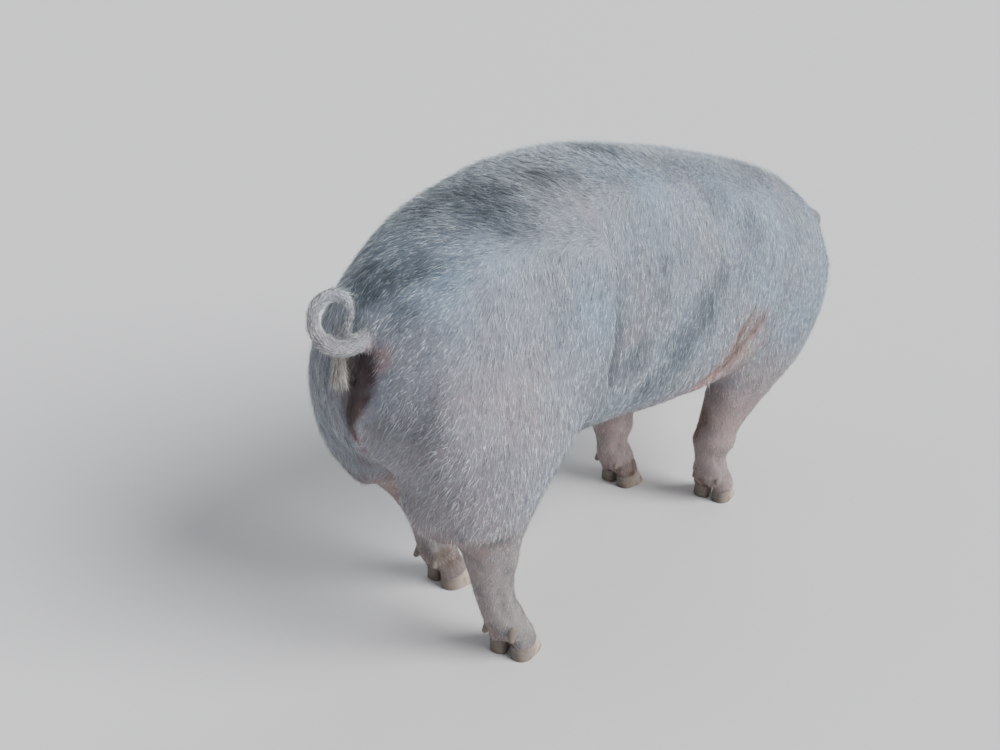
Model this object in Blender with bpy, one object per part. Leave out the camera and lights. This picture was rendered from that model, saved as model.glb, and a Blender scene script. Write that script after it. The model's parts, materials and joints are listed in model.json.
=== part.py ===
"""A life-size still model of a standing domestic pig: a heavy, arch-backed animal with its feet
gathered under it, its head lowered and turned to its left, and its tail in one open curl.

The nose points along -Y, the back along +Z and the pig's left side along +X. Metres throughout.
The flesh is modelled whole, then parted into nodes by cuts GAP wide.
"""

import math
import random

import bmesh
import bpy
import numpy as np
from mathutils import Matrix, Vector
from mathutils.bvhtree import BVHTree

# Driving dimensions of the animal
HEAD_ORIGIN = Vector((0.056, -0.795, 0.537))
HEAD_PITCH = math.radians(35)
HEAD_YAW = math.radians(26)
EYE_RADIUS = 0.012
EYE_DEPTH = 0.0065
EAR_LENGTH = 0.200
EAR_WIDTH = 0.136
EAR_ROOT_DEPTH = 0.042
CLAW_LENGTH = 0.079
CLAW_WIDTH = 0.040
CLAW_SPREAD = 0.0235
CLAW_SPLAY = math.radians(9)
DEWCLAW_SPREAD = 0.026
DEWCLAW_LENGTH = 0.036
CORONET_HEIGHT = 0.036
CORONET_SLOPE = math.radians(18)
BOX_MIDDLE = Vector((0.0262, -0.1746, 0.0))
GAP = 0.0003
NECK_CUT_Y = -0.645

# Rings, voxels and the size of the reduced mesh
TRUNK_SEGMENTS = 48
LIMB_SEGMENTS = 28
LIMB_RINGS = 40
BODY_VOXEL = 0.006
FINE_WEIGHT = 0.999
SMOOTH_ROUNDS = 4
TRUNK_SMOOTH_ROUNDS = 36
BODY_TRIANGLES = 7100

# The face: where the flat end of the snout, the mouth, the eyes and the ears lie in the head's own axes
SNOUT_END = 0.372
DISC_HALF_WIDTH = 0.056
DISC_HALF_HEIGHT = 0.044
NOSTRIL_RADIUS = 0.0085
EYE_PLACE = (0.150, 0.048)
MOUTH_LINE = ((0.195, -0.082), (0.24, -0.065), (0.30, -0.057), (0.340, -0.053))
EAR_PLACE = (0.068, 0.062, 0.078)
EAR_ROOT_AIM = (0.47, 0.60, 0.46)
EAR_TIP_AIM = (0.40, 0.88, -0.20)

# Tail: steps to the left, up and back from its root, and the radius there
TAIL_ROOT = Vector((0.0, 0.672, 0.680))
TAIL_LEFT = Vector((0.7912, 0.6115, 0.0))
TAIL_BACK = Vector((-0.6115, 0.7912, 0.0))
TAIL = (
    (-0.014, 0.006, -0.034, 0.0190),
    (0.000, 0.003, 0.000, 0.0165),
    (0.012, -0.002, 0.033, 0.0145),
    (0.032, -0.001, 0.052, 0.0138),
    (0.056, 0.009, 0.056, 0.0135),
    (0.073, 0.031, 0.050, 0.0133),
    (0.072, 0.060, 0.042, 0.0130),
    (0.051, 0.078, 0.034, 0.0124),
    (0.029, 0.071, 0.027, 0.0112),
    (0.023, 0.048, 0.021, 0.0098),
    (0.029, 0.020, 0.018, 0.0088),
    (0.037, -0.008, 0.018, 0.0082),
    (0.041, -0.034, 0.019, 0.0076),
    (0.042, -0.052, 0.020, 0.0056),
)
TAIL_BREAKS = (0, 12, 26, 36)

# Trunk stations, rump to neck: y, centre x, top z, widest z, bottom z, half width, squareness
TRUNK = (
    (0.693, 0.0, 0.640, 0.580, 0.520, 0.035, 1.00),
    (0.678, 0.0, 0.696, 0.580, 0.470, 0.100, 0.95),
    (0.625, 0.0, 0.768, 0.600, 0.430, 0.158, 0.90),
    (0.525, 0.0, 0.838, 0.615, 0.405, 0.196, 0.90),
    (0.400, 0.0, 0.882, 0.620, 0.395, 0.210, 0.88),
    (0.250, 0.0, 0.905, 0.620, 0.378, 0.215, 0.84),
    (0.080, 0.0, 0.897, 0.605, 0.356, 0.222, 0.82),
    (-0.100, 0.0, 0.868, 0.590, 0.338, 0.225, 0.82),
    (-0.280, 0.0, 0.832, 0.570, 0.325, 0.220, 0.82),
    (-0.450, 0.0, 0.797, 0.555, 0.330, 0.214, 0.82),
    (-0.600, 0.004, 0.747, 0.540, 0.355, 0.194, 0.86),
    (-0.720, 0.018, 0.690, 0.520, 0.385, 0.152, 0.92),
    (-0.820, 0.040, 0.630, 0.490, 0.390, 0.125, 0.95),
)

# Limb stations, top to bottom: x out from the middle, y, z, half depth fore and aft, half width
HIND_LIMB = (
    (0.070, 0.430, 0.730, 0.080, 0.050),
    (0.106, 0.455, 0.620, 0.185, 0.096),
    (0.118, 0.495, 0.520, 0.185, 0.108),
    (0.122, 0.510, 0.430, 0.150, 0.106),
    (0.122, 0.494, 0.350, 0.096, 0.080),
    (0.122, 0.476, 0.290, 0.064, 0.050),
    (0.120, 0.470, 0.240, 0.054, 0.039),
    (0.118, 0.462, 0.190, 0.042, 0.033),
    (0.118, 0.446, 0.135, 0.036, 0.031),
    (0.120, 0.428, 0.095, 0.038, 0.037),
    (0.120, 0.412, 0.070, 0.036, 0.040),
)
FORE_LIMB = (
    (0.085, -0.480, 0.690, 0.060, 0.045),
    (0.128, -0.530, 0.570, 0.145, 0.080),
    (0.135, -0.511, 0.450, 0.136, 0.088),
    (0.130, -0.438, 0.360, 0.106, 0.076),
    (0.118, -0.382, 0.270, 0.071, 0.056),
    (0.110, -0.356, 0.210, 0.053, 0.044),
    (0.106, -0.348, 0.165, 0.049, 0.042),
    (0.103, -0.350, 0.125, 0.040, 0.035),
    (0.101, -0.362, 0.090, 0.041, 0.040),
    (0.100, -0.380, 0.068, 0.037, 0.042),
)

# The hams: place out, back and up, radii, lean, and how far they swing with the foot
HAM_PLACE = (0.084, 0.565, 0.422)
HAM_RADII = (0.076, 0.092, 0.108)
HAM_TILT = math.radians(12)
HAM_SWING = 0.28

# Each foot: side, y of the middle of the claws, turn-out of the toes, outward shift
FEET = {
    "hind_R": (-1, 0.398, math.radians(9), 0.000),
    "hind_L": (1, 0.306, math.radians(8), 0.007),
    "fore_R": (-1, -0.403, math.radians(6), 0.0),
    "fore_L": (1, -0.306, math.radians(4), 0.005),
}

# Where the limb stations themselves put a foot: distance from the middle, and y
FOOT_HOME = {"hind": (0.12, 0.392), "fore": (0.10, -0.398)}

# Head stations along its axis from the poll: t, top, bottom, half width, height of the widest part
HEAD = (
    (-0.100, 0.060, -0.110, 0.095, -0.020),
    (-0.040, 0.098, -0.165, 0.135, -0.035),
    (0.010, 0.120, -0.178, 0.145, -0.045),
    (0.065, 0.130, -0.176, 0.142, -0.045),
    (0.115, 0.119, -0.158, 0.126, -0.035),
    (0.165, 0.089, -0.120, 0.102, -0.020),
    (0.215, 0.063, -0.090, 0.081, -0.012),
    (0.270, 0.051, -0.073, 0.067, -0.008),
    (0.325, 0.048, -0.058, 0.059, -0.004),
    (0.380, 0.050, -0.046, 0.055, 0.000),
)


def clear_scene():
    for obj in list(bpy.data.objects):
        bpy.data.objects.remove(obj)


def smooth_through(stations, count):
    """Rows read at even steps along a Catmull-Rom curve through the stations, ends included."""
    rows = np.array(stations, float)
    padded = np.vstack([2 * rows[0] - rows[1], rows, 2 * rows[-1] - rows[-2]])
    made = []
    for t in np.linspace(0, len(rows) - 1, count):
        i = min(int(t), len(rows) - 2)
        u = t - i
        a, b, c, d = padded[i : i + 4]
        rise = (c - a) * u + (2 * a - 5 * b + 4 * c - d) * u**2 + (3 * b - a - 3 * c + d) * u**3
        made.append(b + 0.5 * rise)
    return made


def power(value, exponent):
    return math.copysign(abs(value) ** exponent, value)


def new_object(name, bm):
    bmesh.ops.recalc_face_normals(bm, faces=bm.faces)
    mesh = bpy.data.meshes.new(name)
    bm.to_mesh(mesh)
    bm.free()
    obj = bpy.data.objects.new(name, mesh)
    bpy.context.scene.collection.objects.link(obj)
    return obj


def closed_tube(name, rings):
    """A mesh skinned over rings of points, each end closed by one face."""
    bm = bmesh.new()
    loops = [[bm.verts.new(point) for point in ring] for ring in rings]
    for first, second in zip(loops, loops[1:]):
        count = len(first)
        for i in range(count):
            j = (i + 1) % count
            bm.faces.new((first[i], first[j], second[j]))
            bm.faces.new((first[i], second[j], second[i]))
    bm.faces.new(loops[0][::-1])
    bm.faces.new(loops[-1])
    return new_object(name, bm)


def ellipsoid(name, centre, radii, turn=None, segments=16):
    bm = bmesh.new()
    bmesh.ops.create_uvsphere(bm, u_segments=segments, v_segments=segments // 2, radius=1.0)
    place = Matrix.Translation(centre) @ (turn or Matrix.Identity(4)) @ Matrix.Diagonal((*radii, 1.0))
    bmesh.ops.transform(bm, matrix=place, verts=bm.verts)
    return new_object(name, bm)


def apply_modifier(obj, kind, **settings):
    modifier = obj.modifiers.new(kind, kind)
    for key, value in settings.items():
        setattr(modifier, key, value)
    bpy.ops.object.select_all(action="DESELECT")
    bpy.context.view_layer.objects.active = obj
    obj.select_set(True)
    bpy.ops.object.modifier_apply(modifier=modifier.name)


def combine(obj, pieces, operation):
    """One Boolean of obj with all the pieces, which are used up."""
    group = bpy.data.collections.new("operands")
    bpy.context.scene.collection.children.link(group)
    for piece in pieces:
        group.objects.link(piece)
        bpy.context.scene.collection.objects.unlink(piece)
    apply_modifier(
        obj, "BOOLEAN", operation=operation, operand_type="COLLECTION", collection=group, solver="MANIFOLD"
    )
    for piece in list(group.objects):
        bpy.data.objects.remove(piece)
    bpy.data.collections.remove(group)


def trunk_ring(y, x, top, widest, bottom, half_width, squareness):
    ring = []
    for i in range(TRUNK_SEGMENTS):
        angle = 2 * math.pi * i / TRUNK_SEGMENTS
        across = power(math.cos(angle), squareness)
        up = power(math.sin(angle), squareness)
        height = (top - widest) if up > 0 else (widest - bottom)
        ring.append((x + half_width * across, y, widest + height * up))
    return ring


def trunk():
    return closed_tube("trunk", [trunk_ring(*row) for row in smooth_through(TRUNK, 61)])


def limb(name):
    """A leg as one tube; its lower stations slide to the foot's own place on the floor."""
    side, foot_y, _, out = FEET[name]
    rows = smooth_through(HIND_LIMB if name.startswith("hind") else FORE_LIMB, LIMB_RINGS)
    slide = foot_y - FOOT_HOME[name[:4]][1]
    rings = []
    for k, (x, y, z, depth, width) in enumerate(rows):
        near = rows[max(k - 1, 0)]
        far = rows[min(k + 1, len(rows) - 1)]
        run = Vector((0, far[1] - near[1], far[2] - near[2])).normalized()
        ahead = Vector((0, run.z, -run.y))
        share = min(1.0, max(0.0, (0.56 - z) / 0.36))
        centre = Vector((side * (x + out * share), y + slide * share, z))
        ring = []
        for i in range(LIMB_SEGMENTS):
            angle = 2 * math.pi * i / LIMB_SEGMENTS
            ring.append(centre + ahead * depth * math.sin(angle) + Vector((width * math.cos(angle), 0, 0)))
        rings.append(ring)
    return closed_tube(name, rings)


def head_frame():
    """Local head axes: X across to the left, Y forward along the face, Z up out of the brow."""
    along = Vector((math.cos(HEAD_PITCH) * math.sin(HEAD_YAW), -math.cos(HEAD_PITCH) * math.cos(HEAD_YAW),
                    -math.sin(HEAD_PITCH)))
    left = Vector((math.cos(HEAD_YAW), math.sin(HEAD_YAW), 0))
    up = left.cross(along)
    if up.z < 0:
        up = -up
    frame = Matrix((left, along, up)).transposed().to_4x4()
    return Matrix.Translation(HEAD_ORIGIN) @ frame


def on_head(frame, across, along, up):
    return frame @ Vector((across, along, up))


def head_core():
    frame = head_frame()
    rings = []
    for t, top, bottom, half_width, widest in smooth_through(HEAD, 46):
        ring = []
        for i in range(LIMB_SEGMENTS + 8):
            angle = 2 * math.pi * i / (LIMB_SEGMENTS + 8)
            up = power(math.sin(angle), 0.88)
            height = (top - widest) if up > 0 else (widest - bottom)
            ring.append(on_head(frame, half_width * power(math.cos(angle), 0.88), t, widest + height * up))
        rings.append(ring)
    return closed_tube("head_core", rings)


def foot_frame(name):
    side, y, turn, out = FEET[name]
    x = side * (FOOT_HOME[name[:4]][0] + out)
    return Matrix.Translation((x, y, 0)) @ Matrix.Rotation(-side * turn, 4, "Z")


def digits(name):
    """The two fleshy toes above the claws."""
    made = []
    for toe in (-1, 1):
        place = foot_frame(name) @ Matrix.Rotation(toe * CLAW_SPLAY, 4, "Z")
        path = ((0.014, 0.032, 0.100, 0.0195), (0.022, 0.012, 0.066, 0.0225), (0.0255, -0.001, 0.032, 0.0215),
                (0.0255, -0.003, -0.012, 0.0215))
        rings = []
        for x, y, z, radius in smooth_through(path, 9):
            rings.append([place @ Vector((toe * x + radius * math.cos(a), y + 1.38 * radius * math.sin(a), z))
                          for a in np.linspace(0, 2 * math.pi, 16, endpoint=False)])
        made.append(closed_tube("digit", rings))
    return made


def jaw():
    """The lower jaw: a tapering trough of bone and flesh under the mouth line, short of the snout."""
    frame = head_frame()
    rings = []
    stations = ((0.050, -0.120, 0.090, 0.062), (0.120, -0.116, 0.082, 0.056), (0.185, -0.109, 0.066, 0.042),
                (0.245, -0.097, 0.053, 0.031), (0.300, -0.083, 0.045, 0.026), (0.335, -0.073, 0.036, 0.021),
                (0.352, -0.068, 0.023, 0.013))
    for t, up, half_width, half_height in smooth_through(stations, 16):
        rings.append([on_head(frame, half_width * math.cos(a), t, up + half_height * math.sin(a))
                      for a in np.linspace(0, 2 * math.pi, LIMB_SEGMENTS, endpoint=False)])
    return closed_tube("jaw", rings)


def lips(head, under_jaw):
    """Two soft rolls on each side, one over and one under the line of the mouth."""
    frame = head_frame()
    made = []
    for body, lift, radius in ((head, 0.0105, 0.0085), (under_jaw, -0.0105, 0.0080)):
        tree = BVHTree.FromObject(body, bpy.context.evaluated_depsgraph_get())
        for side in (-1, 1):
            rings = []
            for t, up in smooth_through(MOUTH_LINE, 12):
                start = on_head(frame, side * 0.3, t, up + lift)
                place, _, _, _ = tree.ray_cast(start, (on_head(frame, 0, t, up + lift) - start).normalized())
                if place is None:
                    continue
                place = place + (on_head(frame, 0, t, up + lift) - place).normalized() * 0.45 * radius
                rings.append([place + frame.col[0].to_3d() * radius * math.cos(a)
                              + frame.col[2].to_3d() * radius * math.sin(a)
                              for a in np.linspace(0, 2 * math.pi, 12, endpoint=False)])
            made.append(closed_tube("lip", rings))
    return made


def ham(name):
    """The fleshy rear of a thigh, which hangs low over the hock and swings with the foot."""
    side, foot_y, _, _ = FEET[name]
    swing = foot_y - FOOT_HOME["hind"][1]
    centre = Vector((side * HAM_PLACE[0], HAM_PLACE[1] + HAM_SWING * swing, HAM_PLACE[2] - HAM_SWING * swing))
    return ellipsoid(name + "_ham", centre, HAM_RADII, Matrix.Rotation(HAM_TILT, 4, "X"), 28)


def vent():
    """The low forms under the tail: the anus and, under it, the pointed vulva."""
    forms = [ellipsoid("anus", Vector((0, 0.694, 0.610)), (0.020, 0.014, 0.022))]
    tilt = Matrix.Rotation(math.radians(-14), 4, "X")
    forms.append(ellipsoid("vulva", Vector((0, 0.690, 0.545)), (0.022, 0.022, 0.045), tilt))
    forms.append(ellipsoid("vulva_tip", Vector((0, 0.702, 0.505)), (0.009, 0.011, 0.016), tilt))
    return forms


def whole_flesh():
    """Body, head, jaw and legs grown into one closed surface, then reduced."""
    pieces = [trunk(), head_core(), jaw()]
    pieces.extend(lips(pieces[1], pieces[2]))
    pieces.extend(limb(name) for name in FEET)
    pieces.extend(ham(name) for name in FEET if name.startswith("hind"))
    pieces.extend(vent())
    for name in FEET:
        pieces.extend(digits(name))
    bpy.ops.object.select_all(action="DESELECT")
    for piece in pieces:
        piece.select_set(True)
    body = pieces[0]
    bpy.context.view_layer.objects.active = body
    bpy.ops.object.join()
    body.name = "flesh"
    apply_modifier(body, "REMESH", mode="VOXEL", voxel_size=BODY_VOXEL)
    apply_modifier(body, "SMOOTH", factor=0.5, iterations=SMOOTH_ROUNDS)
    soft = body.vertex_groups.new(name="soft")
    for vertex in body.data.vertices:
        rise = (vertex.co.z - 0.26) / 0.10
        front = (vertex.co.y + 0.84) / 0.10
        back = (0.675 - vertex.co.y) / 0.04
        soft.add([vertex.index], max(0.0, min(1.0, rise, front, back)), "REPLACE")
    apply_modifier(body, "SMOOTH", factor=0.5, iterations=TRUNK_SMOOTH_ROUNDS, vertex_group="soft")
    plain = body.vertex_groups.new(name="plain")
    for vertex in body.data.vertices:
        fine = vertex.co.y < -0.80 or vertex.co.z < 0.11 or vertex.co.y > 0.68
        plain.add([vertex.index], FINE_WEIGHT if fine else 1.0, "REPLACE")
    triangles = sum(len(polygon.vertices) - 2 for polygon in body.data.polygons)
    apply_modifier(body, "DECIMATE", ratio=BODY_TRIANGLES / triangles, vertex_group="plain",
                   vertex_group_factor=1.0, use_collapse_triangulate=True)
    body.vertex_groups.clear()
    return body


def sheet_cut(name, points, low, high, frame=None):
    """A thin bent sheet: a line of points in the YZ plane, GAP thick, drawn out from low to high in X."""
    line = [Vector((0, y, z)) for y, z in points]
    bm = bmesh.new()
    sides = []
    for x in (low, high):
        for shift in (-0.5, 0.5):
            row = []
            for k, point in enumerate(line):
                before = (point - line[k - 1]).normalized() if k > 0 else (line[1] - line[0]).normalized()
                after = (line[k + 1] - point).normalized() if k < len(line) - 1 else before
                mitre = (before + after).normalized()
                normal = Vector((0, -mitre.z, mitre.y)) * GAP * shift / max(mitre.dot(before), 0.2)
                row.append(bm.verts.new(point + normal + Vector((x, 0, 0))))
            sides.append(row)
    a, b, c, d = sides
    for k in range(len(line) - 1):
        bm.faces.new((a[k], a[k + 1], b[k + 1], b[k]))
        bm.faces.new((c[k], c[k + 1], d[k + 1], d[k]))
        bm.faces.new((a[k], a[k + 1], c[k + 1], c[k]))
        bm.faces.new((b[k], b[k + 1], d[k + 1], d[k]))
    for k in (0, -1):
        bm.faces.new((a[k], b[k], d[k], c[k]))
    if frame is not None:
        bmesh.ops.transform(bm, matrix=frame, verts=bm.verts)
    return new_object(name, bm)


def box(name, centre, size, turn=None):
    bm = bmesh.new()
    bmesh.ops.create_cube(bm, size=1.0)
    place = Matrix.Translation(centre) @ (turn or Matrix.Identity(4)) @ Matrix.Diagonal((*size, 1.0))
    bmesh.ops.transform(bm, matrix=place, verts=bm.verts)
    return new_object(name, bm)


def under_coronet(name):
    """Everything of a foot below the top of its claws."""
    high = 0.08
    tilt = Matrix.Rotation(CORONET_SLOPE, 4, "X").inverted()
    place = foot_frame(name) @ Matrix.Translation((0, 0, CORONET_HEIGHT + GAP)) @ tilt
    bm = bmesh.new()
    bmesh.ops.create_cube(bm, size=1.0)
    bmesh.ops.transform(bm, matrix=place @ Matrix.Translation((0, 0, -high / 2)) @ Matrix.Diagonal(
        (0.14, 0.18, high, 1.0)), verts=bm.verts)
    return new_object("under_" + name, bm)


def flesh_cuts():
    """One list of cutters for each Boolean: the sheets of one list keep clear of each other."""
    frame = head_frame()
    ham = sheet_cut("ham_cut", ((0.76, 0.590), (0.33, 0.470), (0.235, 0.30)), -0.32, 0.32)
    halves = box("midline_cut", Vector((0, 0.50, 0.42)), (GAP, 0.55, 0.36))
    neck = box("neck_cut", Vector((0, NECK_CUT_Y, 0.60)), (0.70, GAP, 0.70))
    right_line = ((NECK_CUT_Y, 0.475), (-0.300, 0.430), (-0.260, 0.24))
    left_line = ((NECK_CUT_Y, 0.475), (-0.255, 0.424), (-0.200, 0.24))
    fore = [sheet_cut("fore_cut", right_line, -0.32, -0.05), sheet_cut("fore_cut", left_line, 0.05, 0.32)]
    chest_middle = Vector((0, NECK_CUT_Y / 2 - 0.10, 0.36))
    chest = [box("chest_cut", chest_middle + Vector((x, 0, 0)), (GAP, -NECK_CUT_Y - 0.20, 0.24))
             for x in (-0.05, 0.05)]
    head = sheet_cut("head_cut", ((-0.030, 0.26), (-0.030, -0.34)), -0.30, 0.30, frame)
    mouth_line = ((0.46, -0.052), (0.345, -0.053), (0.30, -0.057), (0.24, -0.065), (0.20, -0.075),
                  (0.175, -0.098), (0.09, -0.30))
    mouth = sheet_cut("mouth_cut", mouth_line, -0.20, 0.20, frame)
    tip = box("snout_end", on_head(frame, 0, SNOUT_END + 0.05, 0), (0.3, 0.1, 0.3), frame.to_3x3().to_4x4())
    hock_turn = Matrix.Rotation(math.radians(-8), 4, "X")
    hocks = box("hock_cut", Vector((0, 0.49, 0.232)), (0.50, 0.36, GAP), hock_turn)
    knee_turn = Matrix.Rotation(math.radians(6), 4, "X")
    knees = box("knee_cut", Vector((0, -0.33, 0.172)), (0.40, 0.34, GAP), knee_turn)
    feet = [under_coronet(name) for name in FEET]
    return [feet, [tip], [ham], [halves], [neck], fore, chest, [head], [mouth], [hocks, knees]]


# A point inside each node parted from the flesh
SEEDS = {
    "torso": (0.0, 0.10, 0.62),
    "neck": (0.012, -0.70, 0.55),
    "head": (0.068, -0.87, 0.53),
    "hind_leg_upper_R": (-0.12, 0.50, 0.40),
    "hind_leg_upper_L": (0.12, 0.48, 0.40),
    "fore_leg_upper_R": (-0.13, -0.48, 0.38),
    "fore_leg_upper_L": (0.13, -0.46, 0.38),
    "hind_leg_lower_R": (-0.118, 0.44, 0.13),
    "hind_leg_lower_L": (0.118, 0.38, 0.13),
    "fore_leg_lower_R": (-0.103, -0.355, 0.12),
    "fore_leg_lower_L": (0.103, -0.26, 0.12),
}


def parted_nodes(flesh):
    """The closed surfaces of the cut flesh, each named by the seed point inside it."""
    mesh = bmesh.new()
    mesh.from_mesh(flesh.data)
    mesh.faces.ensure_lookup_table()
    tree = BVHTree.FromBMesh(mesh)
    made = {}
    seeds = dict(SEEDS)
    seeds["lower_jaw"] = on_head(head_frame(), 0, 0.25, -0.095)
    for name, seed in seeds.items():
        _, _, index, _ = tree.ray_cast(Vector(seed), Vector((0, 0, 1)))
        reached = {mesh.faces[index]}
        edge_of_reach = list(reached)
        while edge_of_reach:
            face = edge_of_reach.pop()
            for edge in face.edges:
                for other in edge.link_faces:
                    if other not in reached:
                        reached.add(other)
                        edge_of_reach.append(other)
        piece = bmesh.new()
        twins = {}
        for face in reached:
            for vert in face.verts:
                if vert not in twins:
                    twins[vert] = piece.verts.new(vert.co)
            piece.faces.new([twins[vert] for vert in face.verts])
        made[name] = new_object(name, piece)
    mesh.free()
    bpy.data.objects.remove(flesh)
    return made


def eye_centres(head):
    """The two eyeballs' centres, a little under the surface of the head."""
    frame = head_frame()
    tree = BVHTree.FromObject(head, bpy.context.evaluated_depsgraph_get())
    along, up = EYE_PLACE
    centres = {}
    for suffix, side in (("R", -1), ("L", 1)):
        start = on_head(frame, side * 0.3, along, up)
        inward = (on_head(frame, 0, along, up) - start).normalized()
        place, normal, _, _ = tree.ray_cast(start, inward)
        centres[suffix] = (place - normal * EYE_DEPTH, normal)
    return centres


def lid(name, centre, normal, upper):
    """One eyelid: a soft roll laid along half of an almond round the eyeball."""
    frame = head_frame()
    ahead = frame.col[1].to_3d()
    ahead = (ahead - normal * ahead.dot(normal)).normalized()
    rise = normal.cross(ahead)
    if rise.dot(frame.col[2].to_3d()) < 0:
        rise = -rise
    rings = []
    for step in range(10):
        swing = math.pi * step / 9
        along = -math.cos(swing) * EYE_RADIUS * 1.25
        lift = (1 if upper else -1) * math.sin(swing) * EYE_RADIUS * (0.72 if upper else 0.62)
        forward = 0.0085 - 0.0040 * abs(math.cos(swing))
        middle = centre + ahead * along + rise * lift + normal * forward
        travel = (ahead * math.sin(swing) + rise * (1 if upper else -1) * math.cos(swing) * 0.6).normalized()
        across = travel.cross(normal).normalized()
        radius = (0.0042 if upper else 0.0034) * (0.55 + 0.45 * math.sin(swing))
        rings.append([middle + across * radius * math.cos(a) + normal * radius * math.sin(a)
                      for a in np.linspace(0, 2 * math.pi, 8, endpoint=False)])
    return closed_tube(name, rings)


def ear(name, side, grow=0.0):
    """A pointed leaf that rises from a rolled root and bends forward, open in front as a shallow cup.

    A grow above nought makes the cutter for the ear's seat in the head.
    """
    frame = head_frame()
    turn = frame.to_3x3()
    first = (turn @ Vector((side * EAR_ROOT_AIM[0], EAR_ROOT_AIM[1], EAR_ROOT_AIM[2]))).normalized()
    last = (turn @ Vector((side * EAR_TIP_AIM[0], EAR_TIP_AIM[1], EAR_TIP_AIM[2]))).normalized()
    width = last.cross(first).normalized()
    middle = on_head(frame, side * EAR_PLACE[0], EAR_PLACE[1], EAR_PLACE[2]) - first * EAR_ROOT_DEPTH
    count = 13
    rings = []
    for k, u in enumerate(np.linspace(0, 1, count)):
        aim = first.slerp(last, u)
        opening = width.cross(aim)
        if k > 0:
            middle = middle + aim * (EAR_LENGTH / (count - 1))
        half = 0.5 * EAR_WIDTH * (0.42 + 0.58 * math.sin(math.pi * min(1.0, 0.10 + u * 1.02))) * (1 - u**3.2) ** 0.8
        half = max(half, 0.003)
        roll = math.radians(112 * (1 - u) ** 1.5 + 24)
        thick = 0.0066 * (1 - u) ** 0.7 + 0.0026
        radius = half / roll
        front, back = [], []
        for v in np.linspace(-1, 1, 9):
            swing = (roll + grow / radius) * v
            edge = 1.0 - 0.5 * v**8
            inner = radius - 0.5 * thick * edge - grow
            outer = radius + 0.5 * thick * edge + grow
            arc = Vector((math.sin(swing), 1 - math.cos(swing)))
            for row, reach in ((front, inner), (back, outer)):
                point = middle + width * reach * arc.x + opening * (radius - reach + reach * arc.y)
                if k == 0:
                    point = point - aim * 2 * grow
                row.append(point)
        rings.append(front + back[::-1])
    return closed_tube(name, rings)


def snout_disc():
    """The round gristly plate at the end of the snout, with its two nostrils."""
    frame = head_frame()
    rings = []
    for along, scale in ((0.0, 0.93), (0.003, 0.99), (0.009, 1.0), (0.013, 0.95), (0.0155, 0.86)):
        ring = []
        for i in range(28):
            angle = 2 * math.pi * i / 28
            across = DISC_HALF_WIDTH * scale * power(math.cos(angle), 0.85)
            up = 0.002 + DISC_HALF_HEIGHT * scale * power(math.sin(angle), 0.85)
            ring.append(on_head(frame, across, SNOUT_END + GAP + along + 0.08 * (up + DISC_HALF_HEIGHT), up))
        rings.append(ring)
    flat = []
    for point in rings[0]:
        local = frame.inverted() @ point
        flat.append(on_head(frame, local.x, SNOUT_END + GAP, local.z))
    rings[0] = flat
    disc = closed_tube("snout_disc", rings)
    turn = frame.to_3x3().to_4x4()
    holes = []
    for side in (-1, 1):
        lean = turn @ Matrix.Rotation(side * math.radians(-20), 4, "Y")
        centre = on_head(frame, side * 0.023, SNOUT_END + 0.020, 0.004)
        holes.append(ellipsoid("nostril", centre, (NOSTRIL_RADIUS, 0.014, NOSTRIL_RADIUS * 1.3), lean))
    combine(disc, holes, "DIFFERENCE")
    return disc


def tail_rings(grow=0.0):
    """Rings along the tail, one frame carried on from the last so the tube does not twist."""
    rows = smooth_through(TAIL, TAIL_BREAKS[-1] + 1)
    points = [TAIL_ROOT + TAIL_LEFT * row[0] + Vector((0, 0, row[1])) + TAIL_BACK * row[2] for row in rows]
    side = Vector((0, 0, 1))
    rings = []
    for k, point in enumerate(points):
        run = (points[min(k + 1, len(points) - 1)] - points[max(k - 1, 0)]).normalized()
        side = (side - run * side.dot(run)).normalized()
        other = run.cross(side)
        radius = rows[k][3] + grow
        rings.append([point + side * radius * math.cos(a) + other * radius * math.sin(a)
                      for a in np.linspace(0, 2 * math.pi, 12, endpoint=False)])
    return rings, points


def tail_nodes():
    rings, points = tail_rings()
    made = {}
    for name, first, last in zip(("tail_root", "tail_curl", "tail_tip"), TAIL_BREAKS, TAIL_BREAKS[1:]):
        part = [list(ring) for ring in rings[first : last + 1]]
        if first > 0:
            run = (points[first + 1] - points[first - 1]).normalized()
            part[0] = [point + run * GAP for point in part[0]]
        made[name] = closed_tube(name, part)
    return made, points


def tuft(points):
    """Locks of stiff hair past the tip of the tail."""
    rng = random.Random(3)
    end = points[-1]
    run = (points[-1] - points[-3]).normalized()
    locks = []
    for k in range(9):
        lean = Vector((rng.uniform(-1, 1), rng.uniform(-1, 1), rng.uniform(-1, 1))) * 0.35
        aim = (run + lean + TAIL_BACK * 0.30).normalized()
        start = end - run * 0.012
        reach = rng.uniform(0.030, 0.042)
        bm = bmesh.new()
        bmesh.ops.create_cone(bm, cap_ends=True, segments=6, radius1=0.0022, radius2=0.0006, depth=reach)
        spin = aim.to_track_quat("Z", "Y").to_matrix().to_4x4()
        place = Matrix.Translation(start + aim * reach / 2) @ spin
        bmesh.ops.transform(bm, matrix=place, verts=bm.verts)
        locks.append(new_object("lock", bm))
    return locks


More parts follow.
